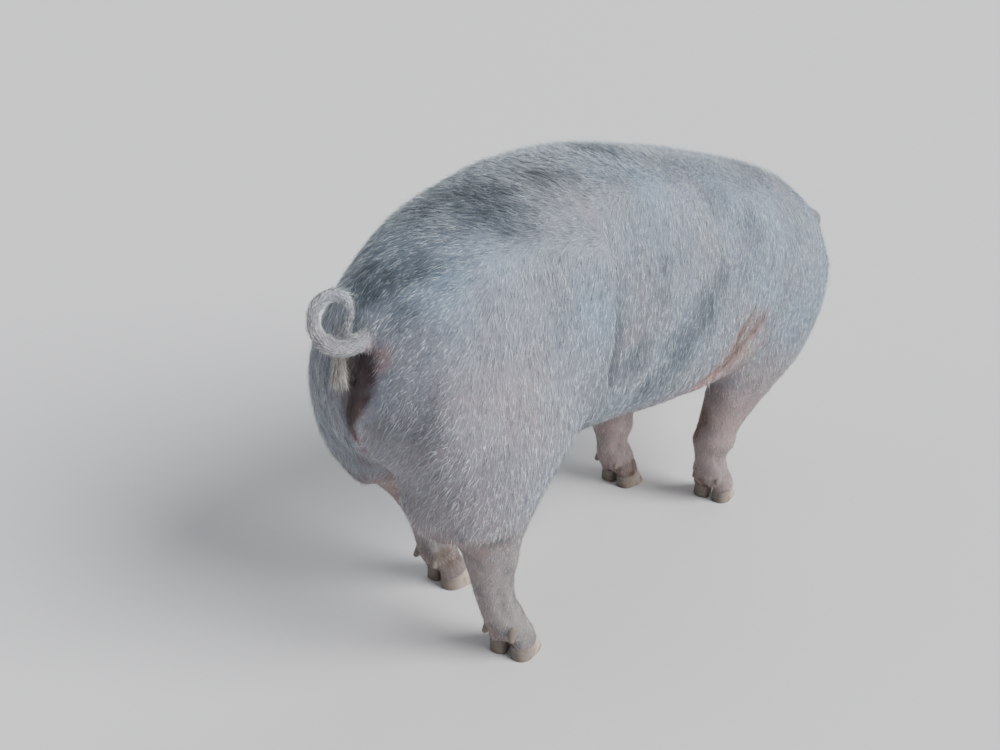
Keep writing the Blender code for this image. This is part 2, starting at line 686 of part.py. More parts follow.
def claw(name, foot, toe):
    """One horn claw: flat-soled, pointed in front, upright on its inner side, its top on the coronet."""
    place = foot_frame(foot)
    splay = Matrix.Rotation(toe * CLAW_SPLAY, 4, "Z")
    rings = []
    for share in (0.0, 0.1, 0.5, 1.0):
        ring = []
        reach = CLAW_LENGTH * (0.69 - 0.37 * share)
        heel = CLAW_LENGTH * (0.31 + 0.04 * share)
        half = CLAW_WIDTH * 0.5 * (1.06 - 0.04 * share) * (0.95 if share == 0.0 else 1.0)
        for i in range(18):
            angle = 2 * math.pi * i / 18
            ahead = math.sin(angle)
            y = -reach * ahead if ahead > 0 else -heel * ahead
            x = half * power(math.cos(angle), 0.8) * (1 - 0.10 * max(ahead, 0))
            x = max(toe * x, -0.80 * half) * toe
            point = splay @ Vector((toe * CLAW_SPREAD + x, y, 0))
            point.z = share * (CORONET_HEIGHT - point.y * math.tan(CORONET_SLOPE))
            ring.append(place @ point)
        rings.append(ring)
    return closed_tube(name, rings)


def dewclaw(foot, toe):
    """A small blunt cone of horn behind the pastern, pointing down and back, its root sunk in."""
    bm = bmesh.new()
    bmesh.ops.create_cone(bm, cap_ends=True, segments=12, radius1=0.0120, radius2=0.0060,
                          depth=DEWCLAW_LENGTH)
    lean = Matrix.Rotation(math.radians(-154), 4, "X")
    splay = Matrix.Rotation(toe * math.radians(-14), 4, "Y")
    place = foot_frame(foot) @ Matrix.Translation((toe * DEWCLAW_SPREAD, 0.053, 0.086)) @ splay @ lean
    bmesh.ops.transform(bm, matrix=place, verts=bm.verts)
    return new_object("dewclaw", bm)


def teats(torso):
    """Seven pairs of small teats along the belly, each root sunk in."""
    tree = BVHTree.FromObject(torso, bpy.context.evaluated_depsgraph_get())
    made = []
    for k in range(7):
        y = 0.235 - 0.069 * k
        for side in (-1, 1):
            place, _, _, _ = tree.ray_cast(Vector((side * (0.088 - 0.004 * abs(k - 3)), y, 0.0)), Vector((0, 0, 1)))
            if place is None:
                continue
            bm = bmesh.new()
            bmesh.ops.create_cone(bm, cap_ends=True, segments=10, radius1=0.0050, radius2=0.0085, depth=0.024)
            bmesh.ops.transform(bm, matrix=Matrix.Translation(place + Vector((0, 0, -0.001))), verts=bm.verts)
            made.append(new_object("teat", bm))
    return made


def material(name, colour, roughness):
    made = bpy.data.materials.new(name)
    made.use_nodes = True
    shader = made.node_tree.nodes["Principled BSDF"]
    shader.inputs["Base Color"].default_value = (*colour, 1.0)
    shader.inputs["Roughness"].default_value = roughness
    shader.inputs["Metallic"].default_value = 0.0
    return made


def dress(nodes):
    skin = material("skin", (0.42, 0.32, 0.30), 0.62)
    leg = material("leg_skin", (0.46, 0.33, 0.30), 0.65)
    snout = material("snout_skin", (0.50, 0.32, 0.31), 0.5)
    horn = material("horn", (0.44, 0.38, 0.30), 0.5)
    eye = material("eye_dark", (0.03, 0.018, 0.012), 0.08)
    for name, obj in nodes.items():
        if name.startswith("eye"):
            chosen = eye
        elif name.startswith("claw"):
            chosen = horn
        elif name.startswith("snout"):
            chosen = snout
        elif "leg" in name:
            chosen = leg
        else:
            chosen = skin
        obj.data.materials.clear()
        obj.data.materials.append(chosen)
        for polygon in obj.data.polygons:
            polygon.material_index = 0


def finish(nodes):
    """Every node moved so the model stands over the origin, and held by one empty."""
    root = bpy.data.objects.new("pig_root", None)
    bpy.context.scene.collection.objects.link(root)
    for obj in nodes.values():
        obj.data.transform(Matrix.Translation(-BOX_MIDDLE))
        obj.parent = root


def build():
    clear_scene()
    flesh = whole_flesh()
    for cutters in flesh_cuts():
        combine(flesh, cutters, "DIFFERENCE")
    nodes = parted_nodes(flesh)
    centres = eye_centres(nodes["head"])
    lids = []
    sockets = []
    for suffix, (centre, normal) in centres.items():
        sockets.append(ellipsoid("socket", centre, (EYE_RADIUS + GAP,) * 3, segments=16))
        lids.append(lid("lid", centre, normal, True))
        lids.append(lid("lid", centre, normal, False))
        nodes["eye_" + suffix] = ellipsoid("eye_" + suffix, centre, (EYE_RADIUS,) * 3, segments=16)
    for piece in lids:
        combine(nodes["head"], [piece], "UNION")
    seats = [ear("seat", side, 1.5 * GAP) for side in (-1, 1)]
    combine(nodes["head"], sockets, "DIFFERENCE")
    combine(nodes["head"], seats, "DIFFERENCE")
    nodes["ear_R"] = ear("ear_R", -1)
    nodes["ear_L"] = ear("ear_L", 1)
    nodes["snout_disc"] = snout_disc()
    tail, points = tail_nodes()
    for piece in tuft(points):
        combine(tail["tail_tip"], [piece], "UNION")
    nodes.update(tail)
    seat_rings, _ = tail_rings(GAP)
    seat = closed_tube("tail_seat", seat_rings[: TAIL_BREAKS[1] - 4])
    combine(nodes["torso"], [seat], "DIFFERENCE")
    for piece in teats(nodes["torso"]):
        combine(nodes["torso"], [piece], "UNION")
    for foot in FEET:
        for suffix, toe in (("a", -1), ("b", 1)):
            nodes["claw_" + foot + "_" + suffix] = claw("claw_" + foot + "_" + suffix, foot, toe)
            combine(nodes[foot[:4] + "_leg_lower_" + foot[-1]], [dewclaw(foot, toe)], "UNION")
    dress(nodes)
    finish(nodes)


build()
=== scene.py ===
"""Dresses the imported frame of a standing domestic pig: one skin with its folds, lips and lids, a coat
of short pale bristles that follow the lie of the hair, wet dark eyes and worn horn claws.

The nose points along -Y, the back along +Z and the pig's left side along +X. Metres throughout.
"""

import json
import math
from contextlib import contextmanager

import bmesh
import bpy
import numpy as np
from mathutils import Matrix, Vector
from mathutils.bvhtree import BVHTree

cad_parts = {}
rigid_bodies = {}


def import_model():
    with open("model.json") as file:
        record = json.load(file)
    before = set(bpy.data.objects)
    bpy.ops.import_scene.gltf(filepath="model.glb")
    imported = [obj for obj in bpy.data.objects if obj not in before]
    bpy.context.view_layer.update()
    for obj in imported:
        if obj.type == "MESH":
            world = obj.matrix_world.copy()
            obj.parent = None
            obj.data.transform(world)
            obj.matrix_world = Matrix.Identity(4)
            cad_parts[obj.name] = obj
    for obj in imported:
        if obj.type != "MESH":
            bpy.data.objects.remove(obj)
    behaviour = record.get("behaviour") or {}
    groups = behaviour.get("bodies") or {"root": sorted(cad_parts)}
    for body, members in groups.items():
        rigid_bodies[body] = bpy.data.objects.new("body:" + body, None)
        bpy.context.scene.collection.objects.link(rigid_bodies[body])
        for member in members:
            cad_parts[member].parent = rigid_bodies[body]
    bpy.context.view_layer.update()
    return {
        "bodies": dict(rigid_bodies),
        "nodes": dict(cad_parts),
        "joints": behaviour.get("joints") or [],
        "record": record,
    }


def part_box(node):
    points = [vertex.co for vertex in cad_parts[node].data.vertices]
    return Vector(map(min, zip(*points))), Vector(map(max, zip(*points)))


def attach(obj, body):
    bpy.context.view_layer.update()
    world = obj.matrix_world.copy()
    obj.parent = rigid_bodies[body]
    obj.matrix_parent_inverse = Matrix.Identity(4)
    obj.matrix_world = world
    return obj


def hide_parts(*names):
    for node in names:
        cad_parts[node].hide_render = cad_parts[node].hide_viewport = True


# The head's own axes, the eyes, the ears and the tail, as in the solids
HEAD_ORIGIN = Vector((0.0298, -0.6204, 0.537))
HEAD_PITCH = math.radians(35)
HEAD_YAW = math.radians(26)
EYE_RADIUS = 0.012
EYE_HALF_WIDTH = 0.0112
UPPER_LID = 0.0066
LOWER_LID = 0.0052
MOUTH_LINE = ((0.190, -0.084), (0.240, -0.065), (0.300, -0.057), (0.352, -0.052))
NOSTRIL_PLACE = (0.023, 0.385, 0.004)
SNOUT_EDGE = 0.366
EAR_LINE = ((0.085, 0.080, 0.098), (0.150, 0.170, 0.115), (0.160, 0.250, 0.090))
TAIL_ROOT = Vector((-0.0262, 0.8466, 0.680))
TAIL_LEFT = Vector((0.7912, 0.6115, 0.0))
TAIL_BACK = Vector((-0.6115, 0.7912, 0.0))
TAIL = (
    (-0.014, 0.006, -0.034, 0.0190),
    (0.000, 0.003, 0.000, 0.0164),
    (0.012, -0.002, 0.033, 0.0144),
    (0.032, -0.001, 0.052, 0.0136),
    (0.056, 0.009, 0.056, 0.0133),
    (0.073, 0.031, 0.050, 0.0131),
    (0.072, 0.060, 0.042, 0.0128),
    (0.051, 0.078, 0.034, 0.0121),
    (0.029, 0.071, 0.027, 0.0109),
    (0.023, 0.048, 0.021, 0.0096),
    (0.029, 0.020, 0.018, 0.0086),
    (0.037, -0.008, 0.018, 0.0079),
    (0.041, -0.034, 0.019, 0.0072),
    (0.042, -0.052, 0.020, 0.0054),
)

# Feet: side, x and y of the middle of the claws and turn-out of the toes
FEET = {
    "hind_R": (-1, -0.1462, 0.5726, math.radians(9)),
    "hind_L": (1, 0.1008, 0.4806, math.radians(8)),
    "fore_R": (-1, -0.1262, -0.2284, math.radians(6)),
    "fore_L": (1, 0.0788, -0.1314, math.radians(4)),
}
CORONET_HEIGHT = 0.036
CORONET_SLOPE = math.radians(18)
HOCK_HEIGHT = 0.268
KNEE_HEIGHT = 0.172

# The camera, as the photo was taken: its place, its turn and its lens
CAMERA_PLACE = Vector((-1.1992, 2.0226, 1.35))
CAMERA_HEADING = math.radians(217.7)
CAMERA_TILT = math.radians(66.38)
CAMERA_ROLL = math.radians(3.27)
CAMERA_LENS = 41.4

SKIN_VOXEL = 0.0032
SKIN_TRIANGLES = 60000
FINE_BIAS = 0.004
BRISTLES = 300000
CREST_BRISTLES = 16000
COAT_PIECE = 48000
TUFT_HAIRS = 900
LASHES = 76
COAT_PATCH = 0.003

# Lengths of the bristles by region, and what they lose on the muzzle
TRUNK_HAIR = 0.0225
BELLY_HAIR = 0.0120
LEG_HAIR = 0.0105
BROW_HAIR = 0.0085
MUZZLE_CUT = 0.0045
EAR_HAIR = 0.0070
TAIL_HAIR = 0.0090
CREST_HAIR = 0.0210
# How far the bristles stand up off the hide and how much they stray to the sides
LEAN, LEAN_SPREAD, STRAY = 9, 6, 0.27
CREST_LEAN, CREST_LEAN_SPREAD, CREST_STRAY = 26, 9, 0.22
BRIGHT_SHARE = 0.38

FLESH = ["torso", "neck", "head", "lower_jaw", "snout_disc", "ear_R", "ear_L", "tail_root", "tail_curl", "tail_tip"]
FLESH += [f"{leg}_leg_{part}_{side}" for leg in ("hind", "fore") for part in ("upper", "lower") for side in "RL"]


def select_only(obj):
    bpy.ops.object.select_all(action="DESELECT")
    obj.select_set(True)
    bpy.context.view_layer.objects.active = obj


def apply_modifier(obj, kind, **settings):
    modifier = obj.modifiers.new(kind, kind)
    for key, value in settings.items():
        setattr(modifier, key, value)
    select_only(obj)
    bpy.ops.object.modifier_apply(modifier=modifier.name)


def new_object(name, data):
    obj = bpy.data.objects.new(name, data)
    bpy.context.scene.collection.objects.link(obj)
    return obj


def object_from(name, bm):
    mesh = bpy.data.meshes.new(name)
    bm.to_mesh(mesh)
    bm.free()
    return new_object(name, mesh)


def join(objects):
    bpy.ops.object.select_all(action="DESELECT")
    for obj in objects:
        obj.select_set(True)
    bpy.context.view_layer.objects.active = objects[0]
    bpy.ops.object.join()
    return objects[0]


@contextmanager
def editing(obj):
    """The mesh of an object, open for changes that are written back at the end."""
    bm = bmesh.new()
    bm.from_mesh(obj.data)
    yield bm
    bm.to_mesh(obj.data)
    bm.free()


def finished(obj, material, slot, *replaced):
    """A piece made smooth, with its one material, hiding the nodes that it replaces; its slot is not used."""
    select_only(obj)
    bpy.ops.object.shade_smooth()
    obj.data.materials.clear()
    obj.data.materials.append(material)
    if replaced:
        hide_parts(*replaced)
    return obj


def read(items, key, width, kind):
    """One property of many mesh items as an array, with a row for each item."""
    flat = np.empty(len(items) * width, dtype=kind)
    items.foreach_get(key, flat)
    return flat.reshape(-1, width)


def points_of(obj):
    return read(obj.data.vertices, "co", 3, np.float64)


def normals_of(obj):
    return read(obj.data.vertex_normals, "vector", 3, np.float32).astype(float)


def set_points(obj, points):
    obj.data.vertices.foreach_set("co", points.ravel())
    obj.data.update()


def edges_of(obj):
    return read(obj.data.edges, "vertices", 2, np.int32)


def step(low, high, value):
    """0 at the low end, rising smoothly to 1 at the high one."""
    t = np.clip((value - low) / (high - low), 0.0, 1.0)
    return t * t * (3 - 2 * t)


def drop(low, high, value):
    """1 at the low end, falling smoothly to 0 at the high one."""
    return 1 - step(low, high, value)


def band(value, start, full, last, end):
    """1 from a value to another, fading to 0 outside them."""
    return step(start, full, value) * drop(last, end, value)


def bell(distance, width):
    """1 at no distance, falling to about a third at the width."""
    return np.exp(-((distance / width) ** 2))


def norms(rows):
    return np.linalg.norm(rows, axis=1)


def unit(rows):
    """Vectors in rows, each made one long."""
    return rows / norms(rows)[:, None]


def averaged(field, edges, weights, rounds):
    """A field of vectors drawn towards the mean of its neighbours, as far as the weights say."""
    count = np.maximum(np.bincount(edges.ravel(), minlength=len(field)), 1)
    for _ in range(rounds):
        middle = np.empty_like(field)
        for axis in range(3):
            column = field[:, axis]
            middle[:, axis] = (np.bincount(edges[:, 0], column[edges[:, 1]], len(field))
                               + np.bincount(edges[:, 1], column[edges[:, 0]], len(field))) / count
        field = field + (middle - field) * weights[:, None]
    return field


def relax(obj, weights, rounds):
    """Draws each point towards the middle of its neighbours, as far as its weight says."""
    set_points(obj, averaged(points_of(obj), edges_of(obj), weights * 0.5, rounds))


def ripple(points, scale, seed):
    """A smooth field from -1 to 1 that wanders over about the given scale."""
    rng = np.random.default_rng(seed)
    total = np.zeros(len(points))
    for _ in range(7):
        wave = rng.normal(size=3)
        wave *= rng.uniform(0.7, 1.6) / (scale * np.linalg.norm(wave))
        total += np.sin(points @ wave * 2.2 + rng.uniform(0, 6.28))
    return total / 3.2


def head_frame():
    """The head's place and axes: left, along the face, and up out of the brow."""
    along = Vector((math.cos(HEAD_PITCH) * math.sin(HEAD_YAW), -math.cos(HEAD_PITCH) * math.cos(HEAD_YAW),
                    -math.sin(HEAD_PITCH)))
    left = Vector((math.cos(HEAD_YAW), math.sin(HEAD_YAW), 0))
    up = left.cross(along)
    if up.z < 0:
        up = -up
    return Matrix.Translation(HEAD_ORIGIN) @ Matrix((left, along, up)).transposed().to_4x4()


def in_frame(points, frame):
    """Points in the axes of a frame."""
    inverse = np.array(frame.inverted())
    return points @ inverse[:3, :3].T + inverse[:3, 3]


def in_head(points):
    """Points in the head's own axes: across to the left, along the face, up out of the brow."""
    return in_frame(points, head_frame())


def head_turn():
    """The head's own axes as the columns of a square array."""
    return np.array(head_frame())[:3, :3]


def head_share(points):
    """1 on the head, fading to 0 on the neck."""
    return step(-0.060, 0.010, in_head(points)[:, 1]) * step(-0.30, -0.42, points[:, 1])


def line_distance(points, line):
    """Distance of each point to a bent line, and how far along the line its nearest place lies."""
    line = np.array(line, float)
    best = np.full(len(points), 9.0)
    share = np.zeros(len(points))
    lengths = norms(np.diff(line, axis=0))
    walked = np.concatenate([[0.0], np.cumsum(lengths)])
    for k in range(len(line) - 1):
        run = line[k + 1] - line[k]
        t = np.clip((points - line[k]) @ run / (run @ run), 0, 1)
        distance = norms(points - line[k] - t[:, None] * run)
        closer = distance < best
        best = np.where(closer, distance, best)
        share = np.where(closer, (walked[k] + t * lengths[k]) / walked[-1], share)
    return best, share


def place_on(line, share):
    """The places that lie at shares of the length of a bent line."""
    walked = np.concatenate([[0.0], np.cumsum(norms(np.diff(line, axis=0)))])
    return np.column_stack([np.interp(share, walked / walked[-1], line[:, axis]) for axis in range(3)])


def smooth_rows(stations, count):
    """Rows read at even steps along a Catmull-Rom curve through the stations."""
    rows = np.array(stations, float)
    padded = np.vstack([2 * rows[0] - rows[1], rows, 2 * rows[-1] - rows[-2]])
    made = []
    for t in np.linspace(0, len(rows) - 1, count):
        i = min(int(t), len(rows) - 2)
        u = t - i
        a, b, c, d = padded[i : i + 4]
        rise = (c - a) * u + (2 * a - 5 * b + 4 * c - d) * u**2 + (3 * b - a - 3 * c + d) * u**3
        made.append(b + 0.5 * rise)
    return np.array(made)


def closed_tube(name, rings):
    bm = bmesh.new()
    loops = [[bm.verts.new(point) for point in ring] for ring in rings]
    for first, second in zip(loops, loops[1:]):
        count = len(first)
        for i in range(count):
            j = (i + 1) % count
            bm.faces.new((first[i], first[j], second[j], second[i]))
    bm.faces.new(loops[0][::-1])
    bm.faces.new(loops[-1])
    bmesh.ops.recalc_face_normals(bm, faces=bm.faces)
    return object_from(name, bm)


def tail_points():
    """The middle line of the tail and its radius along it."""
    rows = smooth_rows(TAIL, 66)
    middle = [TAIL_ROOT + TAIL_LEFT * r[0] + Vector((0, 0, r[1])) + TAIL_BACK * r[2] for r in rows]
    return np.array(middle), rows[:, 3]


def tail_share(points, near=0.020, far=0.030):
    """1 on the tail, fading to 0 away from it and into its root."""
    off, along = line_distance(points, tail_points()[0][::4])
    return drop(near, far, off) * step(0.05, 0.12, along)


def off_tail(points):
    """Distance of each point to the middle of the tail, its root apart."""
    return line_distance(points, tail_points()[0][6::6])[0]


def tail_core():
    """The tail as one tapering tube, its rings carried on without a twist."""
    points, radii = tail_points()
    side = Vector((0, 0, 1))
    rings = []
    for k in range(len(points)):
        run = Vector(points[min(k + 1, len(points) - 1)] - points[max(k - 1, 0)]).normalized()
        side = (side - run * side.dot(run)).normalized()
        other = run.cross(side)
        rings.append([Vector(points[k]) + (side * math.cos(a) + other * math.sin(a)) * radii[k]
                      for a in np.linspace(0, 2 * math.pi, 16, endpoint=False)])
    return closed_tube("tail_core", rings)


def merged_copy(node, swell=0.0):
    """A copy of a solid's mesh with its points merged, grown a little along its normals."""
    bm = bmesh.new()
    bm.from_mesh(node.data)
    bmesh.ops.transform(bm, matrix=node.matrix_world, verts=bm.verts)
    bmesh.ops.remove_doubles(bm, verts=bm.verts, dist=0.00001)
    bm.normal_update()
    for vert in bm.verts:
        vert.co += vert.normal * swell
    return object_from(node.name + "_copy", bm)


def ear_root(node, side):
    """The part of an ear that lies deep in the head, to close its seat."""
    copy = merged_copy(node, 0.0006)
    frame = head_frame()
    aim = (frame.to_3x3() @ Vector((side * 0.47, 0.60, 0.46))).normalized()
    place = frame @ Vector((side * 0.060, 0.052, 0.060)) - aim * 0.008
    with editing(copy) as bm:
        geometry = list(bm.verts) + list(bm.edges) + list(bm.faces)
        cut = bmesh.ops.bisect_plane(bm, geom=geometry, plane_co=place, plane_no=aim, clear_outer=True)
        rim = [item for item in cut["geom_cut"] if isinstance(item, bmesh.types.BMEdge)]
        bmesh.ops.edgeloop_fill(bm, edges=rim)
    return copy


def whole_body(nodes):
    """Every piece of flesh but the ears grown into one closed surface, and smoothed."""
    pieces = [merged_copy(nodes[name], 0.0005) for name in FLESH
              if not name.startswith("ear") and name not in ("tail_tip", "tail_curl")]
    pieces += [merged_copy(nodes["eye_" + suffix], 0.0005) for suffix in ("R", "L")]
    pieces += [ear_root(nodes["ear_R"], -1), ear_root(nodes["ear_L"], 1), tail_core()]
    body = join(pieces)
    body.name = "skin"
    body.data.name = "skin"
    apply_modifier(body, "REMESH", mode="VOXEL", voxel_size=SKIN_VOXEL)
    keep_largest(body)
    points = points_of(body)
    trunk = step(0.20, 0.34, points[:, 2]) * (1 - head_share(points))
    tail_near = off_tail(points)
    trunk *= step(0.025, 0.060, tail_near)
    vent_near, _ = line_distance(points, ((-0.0262, 0.880, 0.640), (-0.0262, 0.885, 0.50)))
    trunk *= 0.15 + 0.85 * step(0.03, 0.07, vent_near)
    rounds = 110
    relax(body, trunk, rounds)
    face = head_share(points) * drop(0.36, 0.372, in_head(points)[:, 1])
    free = 0.12 + 0.88 * step(0.020, 0.045, tail_near)
    relax(body, np.maximum(face, step(0.03, 0.07, points[:, 2]) * (1 - face)) * free, rounds // 9)
    relax(body, 0.8 * free, 3)
    return body


def keep_largest(obj):
    """Deletes every loose part of a mesh but the one with the most faces."""
    with editing(obj) as bm:
        left = set(bm.faces)
        largest = []
        while left:
            start = left.pop()
            reached = [start]
            grow = [start]
            while grow:
                face = grow.pop()
                for edge in face.edges:
                    for other in edge.link_faces:
                        if other in left:
                            left.discard(other)
                            reached.append(other)
                            grow.append(other)
            if len(reached) > len(largest):
                largest, reached = reached, largest
            if reached:
                bmesh.ops.delete(bm, geom=reached, context="FACES")


def reduce_body(body):
    """Fewer triangles, with the head and feet kept finer, and the long edges and folds split again."""
    points = points_of(body)
    fine = np.maximum(head_share(points), step(0.15, 0.09, points[:, 2]))
    fine = np.maximum(fine, step(0.86, 0.875, points[:, 1]))
    group = body.vertex_groups.new(name="plain")
    for index, share in enumerate(fine):
        group.add([index], 1.0 - FINE_BIAS * float(share), "REPLACE")
    triangles = sum(len(polygon.vertices) - 2 for polygon in body.data.polygons)
    apply_modifier(body, "DECIMATE", ratio=min(1.0, SKIN_TRIANGLES / triangles), vertex_group="plain",
                   vertex_group_factor=1.0, use_collapse_triangulate=True)
    body.vertex_groups.clear()
    longest = 0.0162
    for length, width in ((2 * longest, 9), (longest, 9), (longest, 9), (0.0080, 0.028), (0.0044, 0.013)):
        split_long(body, length, width)


def split_long(body, length, width):
    """Halves the edges longer than a length that lie within a width of the folds."""
    points, edges = points_of(body), edges_of(body)
    long = norms(points[edges[:, 0]] - points[edges[:, 1]]) > length
    if width < 1:
        long &= near_folds((points[edges[:, 0]] + points[edges[:, 1]]) / 2, width)
    with editing(body) as bm:
        bm.edges.ensure_lookup_table()
        bmesh.ops.subdivide_edges(bm, edges=[bm.edges[index] for index in np.flatnonzero(long)], cuts=1)
        bmesh.ops.triangulate(bm, faces=bm.faces[:])


def near_folds(middles, width):
    """Places close to the folds of either side, and under the tail."""
    chosen = np.hypot(middles[:, 0] - MIDDLE_X, middles[:, 2] - 0.60) < 0.045 + width
    chosen &= middles[:, 1] > 0.80
    for line, _, crease, *_ in FOLDS:
        for _, path in both_sides(line) if crease < 0.009 or width > 0.02 else ():
            chosen |= line_distance(middles, path)[0] < width
    return chosen


def refine(body, tests):
    """Splits the triangles where a test of their middles holds, once for each test in turn."""
    with editing(body) as bm:
        for test in tests:
            bm.faces.ensure_lookup_table()
            chosen = test(np.array([face.calc_center_median() for face in bm.faces]))
            edges = {edge for index in np.flatnonzero(chosen) for edge in bm.faces[index].edges}
            bmesh.ops.subdivide_edges(bm, edges=list(edges), cuts=1, use_grid_fill=True)
            bmesh.ops.triangulate(bm, faces=bm.faces[:])


def eye_frames():
    """For each eye: its centre, and unit vectors ahead, up and out of the face."""
    frame = head_frame()
    turn = frame.to_3x3()
    made = {}
    for suffix, side in (("R", -1), ("L", 1)):
        low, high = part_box("eye_" + suffix)
        centre = (Vector(low) + Vector(high)) / 2
        out = (turn @ Vector((side * 0.86, 0.28, 0.42))).normalized()
        ahead = turn @ Vector((0, 1, -0.10))
        ahead = (ahead - out * ahead.dot(out)).normalized()
        rise = out.cross(ahead)
        if rise.dot(turn.col[2]) < 0:
            rise = -rise
        made[suffix] = (centre, ahead, rise, out)
    return made


def shape_eyes(points, frames):
    """Lids that hug each eyeball round an almond opening, with a crease above and a fold below."""
    for centre, ahead, rise, out in frames.values():
        away = points - np.array(centre)
        reach = norms(away)
        near = (reach < 0.040) & (away @ np.array(out) > -0.004)
        aim = away[near] / reach[near, None]
        s = aim @ np.array(ahead) * EYE_RADIUS
        r = aim @ np.array(rise) * EYE_RADIUS
        arch = np.maximum(1 - (s / EYE_HALF_WIDTH) ** 2, 0.0)
        over = r - UPPER_LID * arch
        under = -LOWER_LID * arch - r
        past = np.maximum(np.maximum(over, under), np.abs(s) - EYE_HALF_WIDTH)
        lid = 0.0104 + 0.0034 * step(-0.0010, 0.0004, past)
        lid = lid - 0.0014 * bell(past - 0.0036, 0.0007) + 0.0009 * bell(past - 0.0020, 0.0009) * (over > 0)
        hold = drop(0.0035, 0.0085, past) * drop(0.020, 0.036, reach[near])
        moved = reach[near] + (lid - reach[near]) * hold
        points[near] = np.array(centre) + aim * moved[:, None]


def shape_nostrils(points):
    """Two deep nostrils in the flat of the snout, each with a low rim."""
    local = in_head(points)
    turn = head_turn()
    front = 0.3878 + 0.08 * (local[:, 2] + 0.044)
    for side in (-1, 1):
        u = (local[:, 0] - side * NOSTRIL_PLACE[0]) / 0.0080
        v = (local[:, 2] - NOSTRIL_PLACE[2] + 0.25 * side * (local[:, 0] - side * NOSTRIL_PLACE[0])) / 0.0098
        away = np.sqrt(u * u + v * v)
        near = (away < 1.9) & (local[:, 1] > 0.362)
        depth = front - 0.016 * drop(0.55, 1.0, away) + 0.0012 * bell(away - 1.25, 0.3)
        hold = drop(1.3, 1.9, away)
        shift = np.where(near, (depth - local[:, 1]) * hold, 0.0)
        points += shift[:, None] * turn[:, 1]


def shape_face(points):
    """How far each point of the head moves along its normal: mouth, lips, snout folds, brow and cheeks."""
    local = in_head(points)
    share = head_share(points)
    along, up = local[:, 1], local[:, 2]
    plane = np.stack([along, up], axis=1)
    off, _ = line_distance(plane, MOUTH_LINE)
    flank = step(0.012, 0.030, np.abs(local[:, 0]))
    move = -0.0055 * bell(off, 0.0019) * flank
    move += 0.0022 * bell(off - 0.0070, 0.0036) * flank * step(0.185, 0.215, along)
    for k, place in enumerate((0.312, 0.326, 0.339, 0.351, 0.3615)):
        bend = place - 0.004 * np.abs(local[:, 0]) / 0.05 + 0.0015 * ripple(points, 0.02, 40 + k)
        move -= (0.0012 + 0.0003 * k) * bell(along - bend, 0.0021) * step(-0.030, 0.005, up)
    for k, place in enumerate((0.055, 0.078, 0.100)):
        bend = place + 0.006 * ripple(points, 0.05, 50 + k)
        move -= 0.0013 * bell(along - bend, 0.0040) * step(0.06, 0.10, up)
    across = np.abs(local[:, 0])
    for centre, size, height in (
        ((0.086, 0.140, 0.074), 0.022, 0.0050),
        ((0.128, 0.060, -0.085), 0.050, 0.0060),
        ((0.060, 0.225, 0.020), 0.022, -0.0030),
        ((0.066, 0.180, -0.010), 0.030, 0.0030),
    ):
        spot = np.array([across - centre[0], along - centre[1], up - centre[2]]).T
        move += height * bell(norms(spot), size)
    for k in range(3):
        corner = np.hypot(along - 0.178 + 0.011 * k, up + 0.088 + 0.003 * k)
        move -= 0.0016 * bell(corner - 0.010 - 0.004 * k, 0.0022) * (along < 0.185) * step(0.10, 0.13, along)
    return move * share


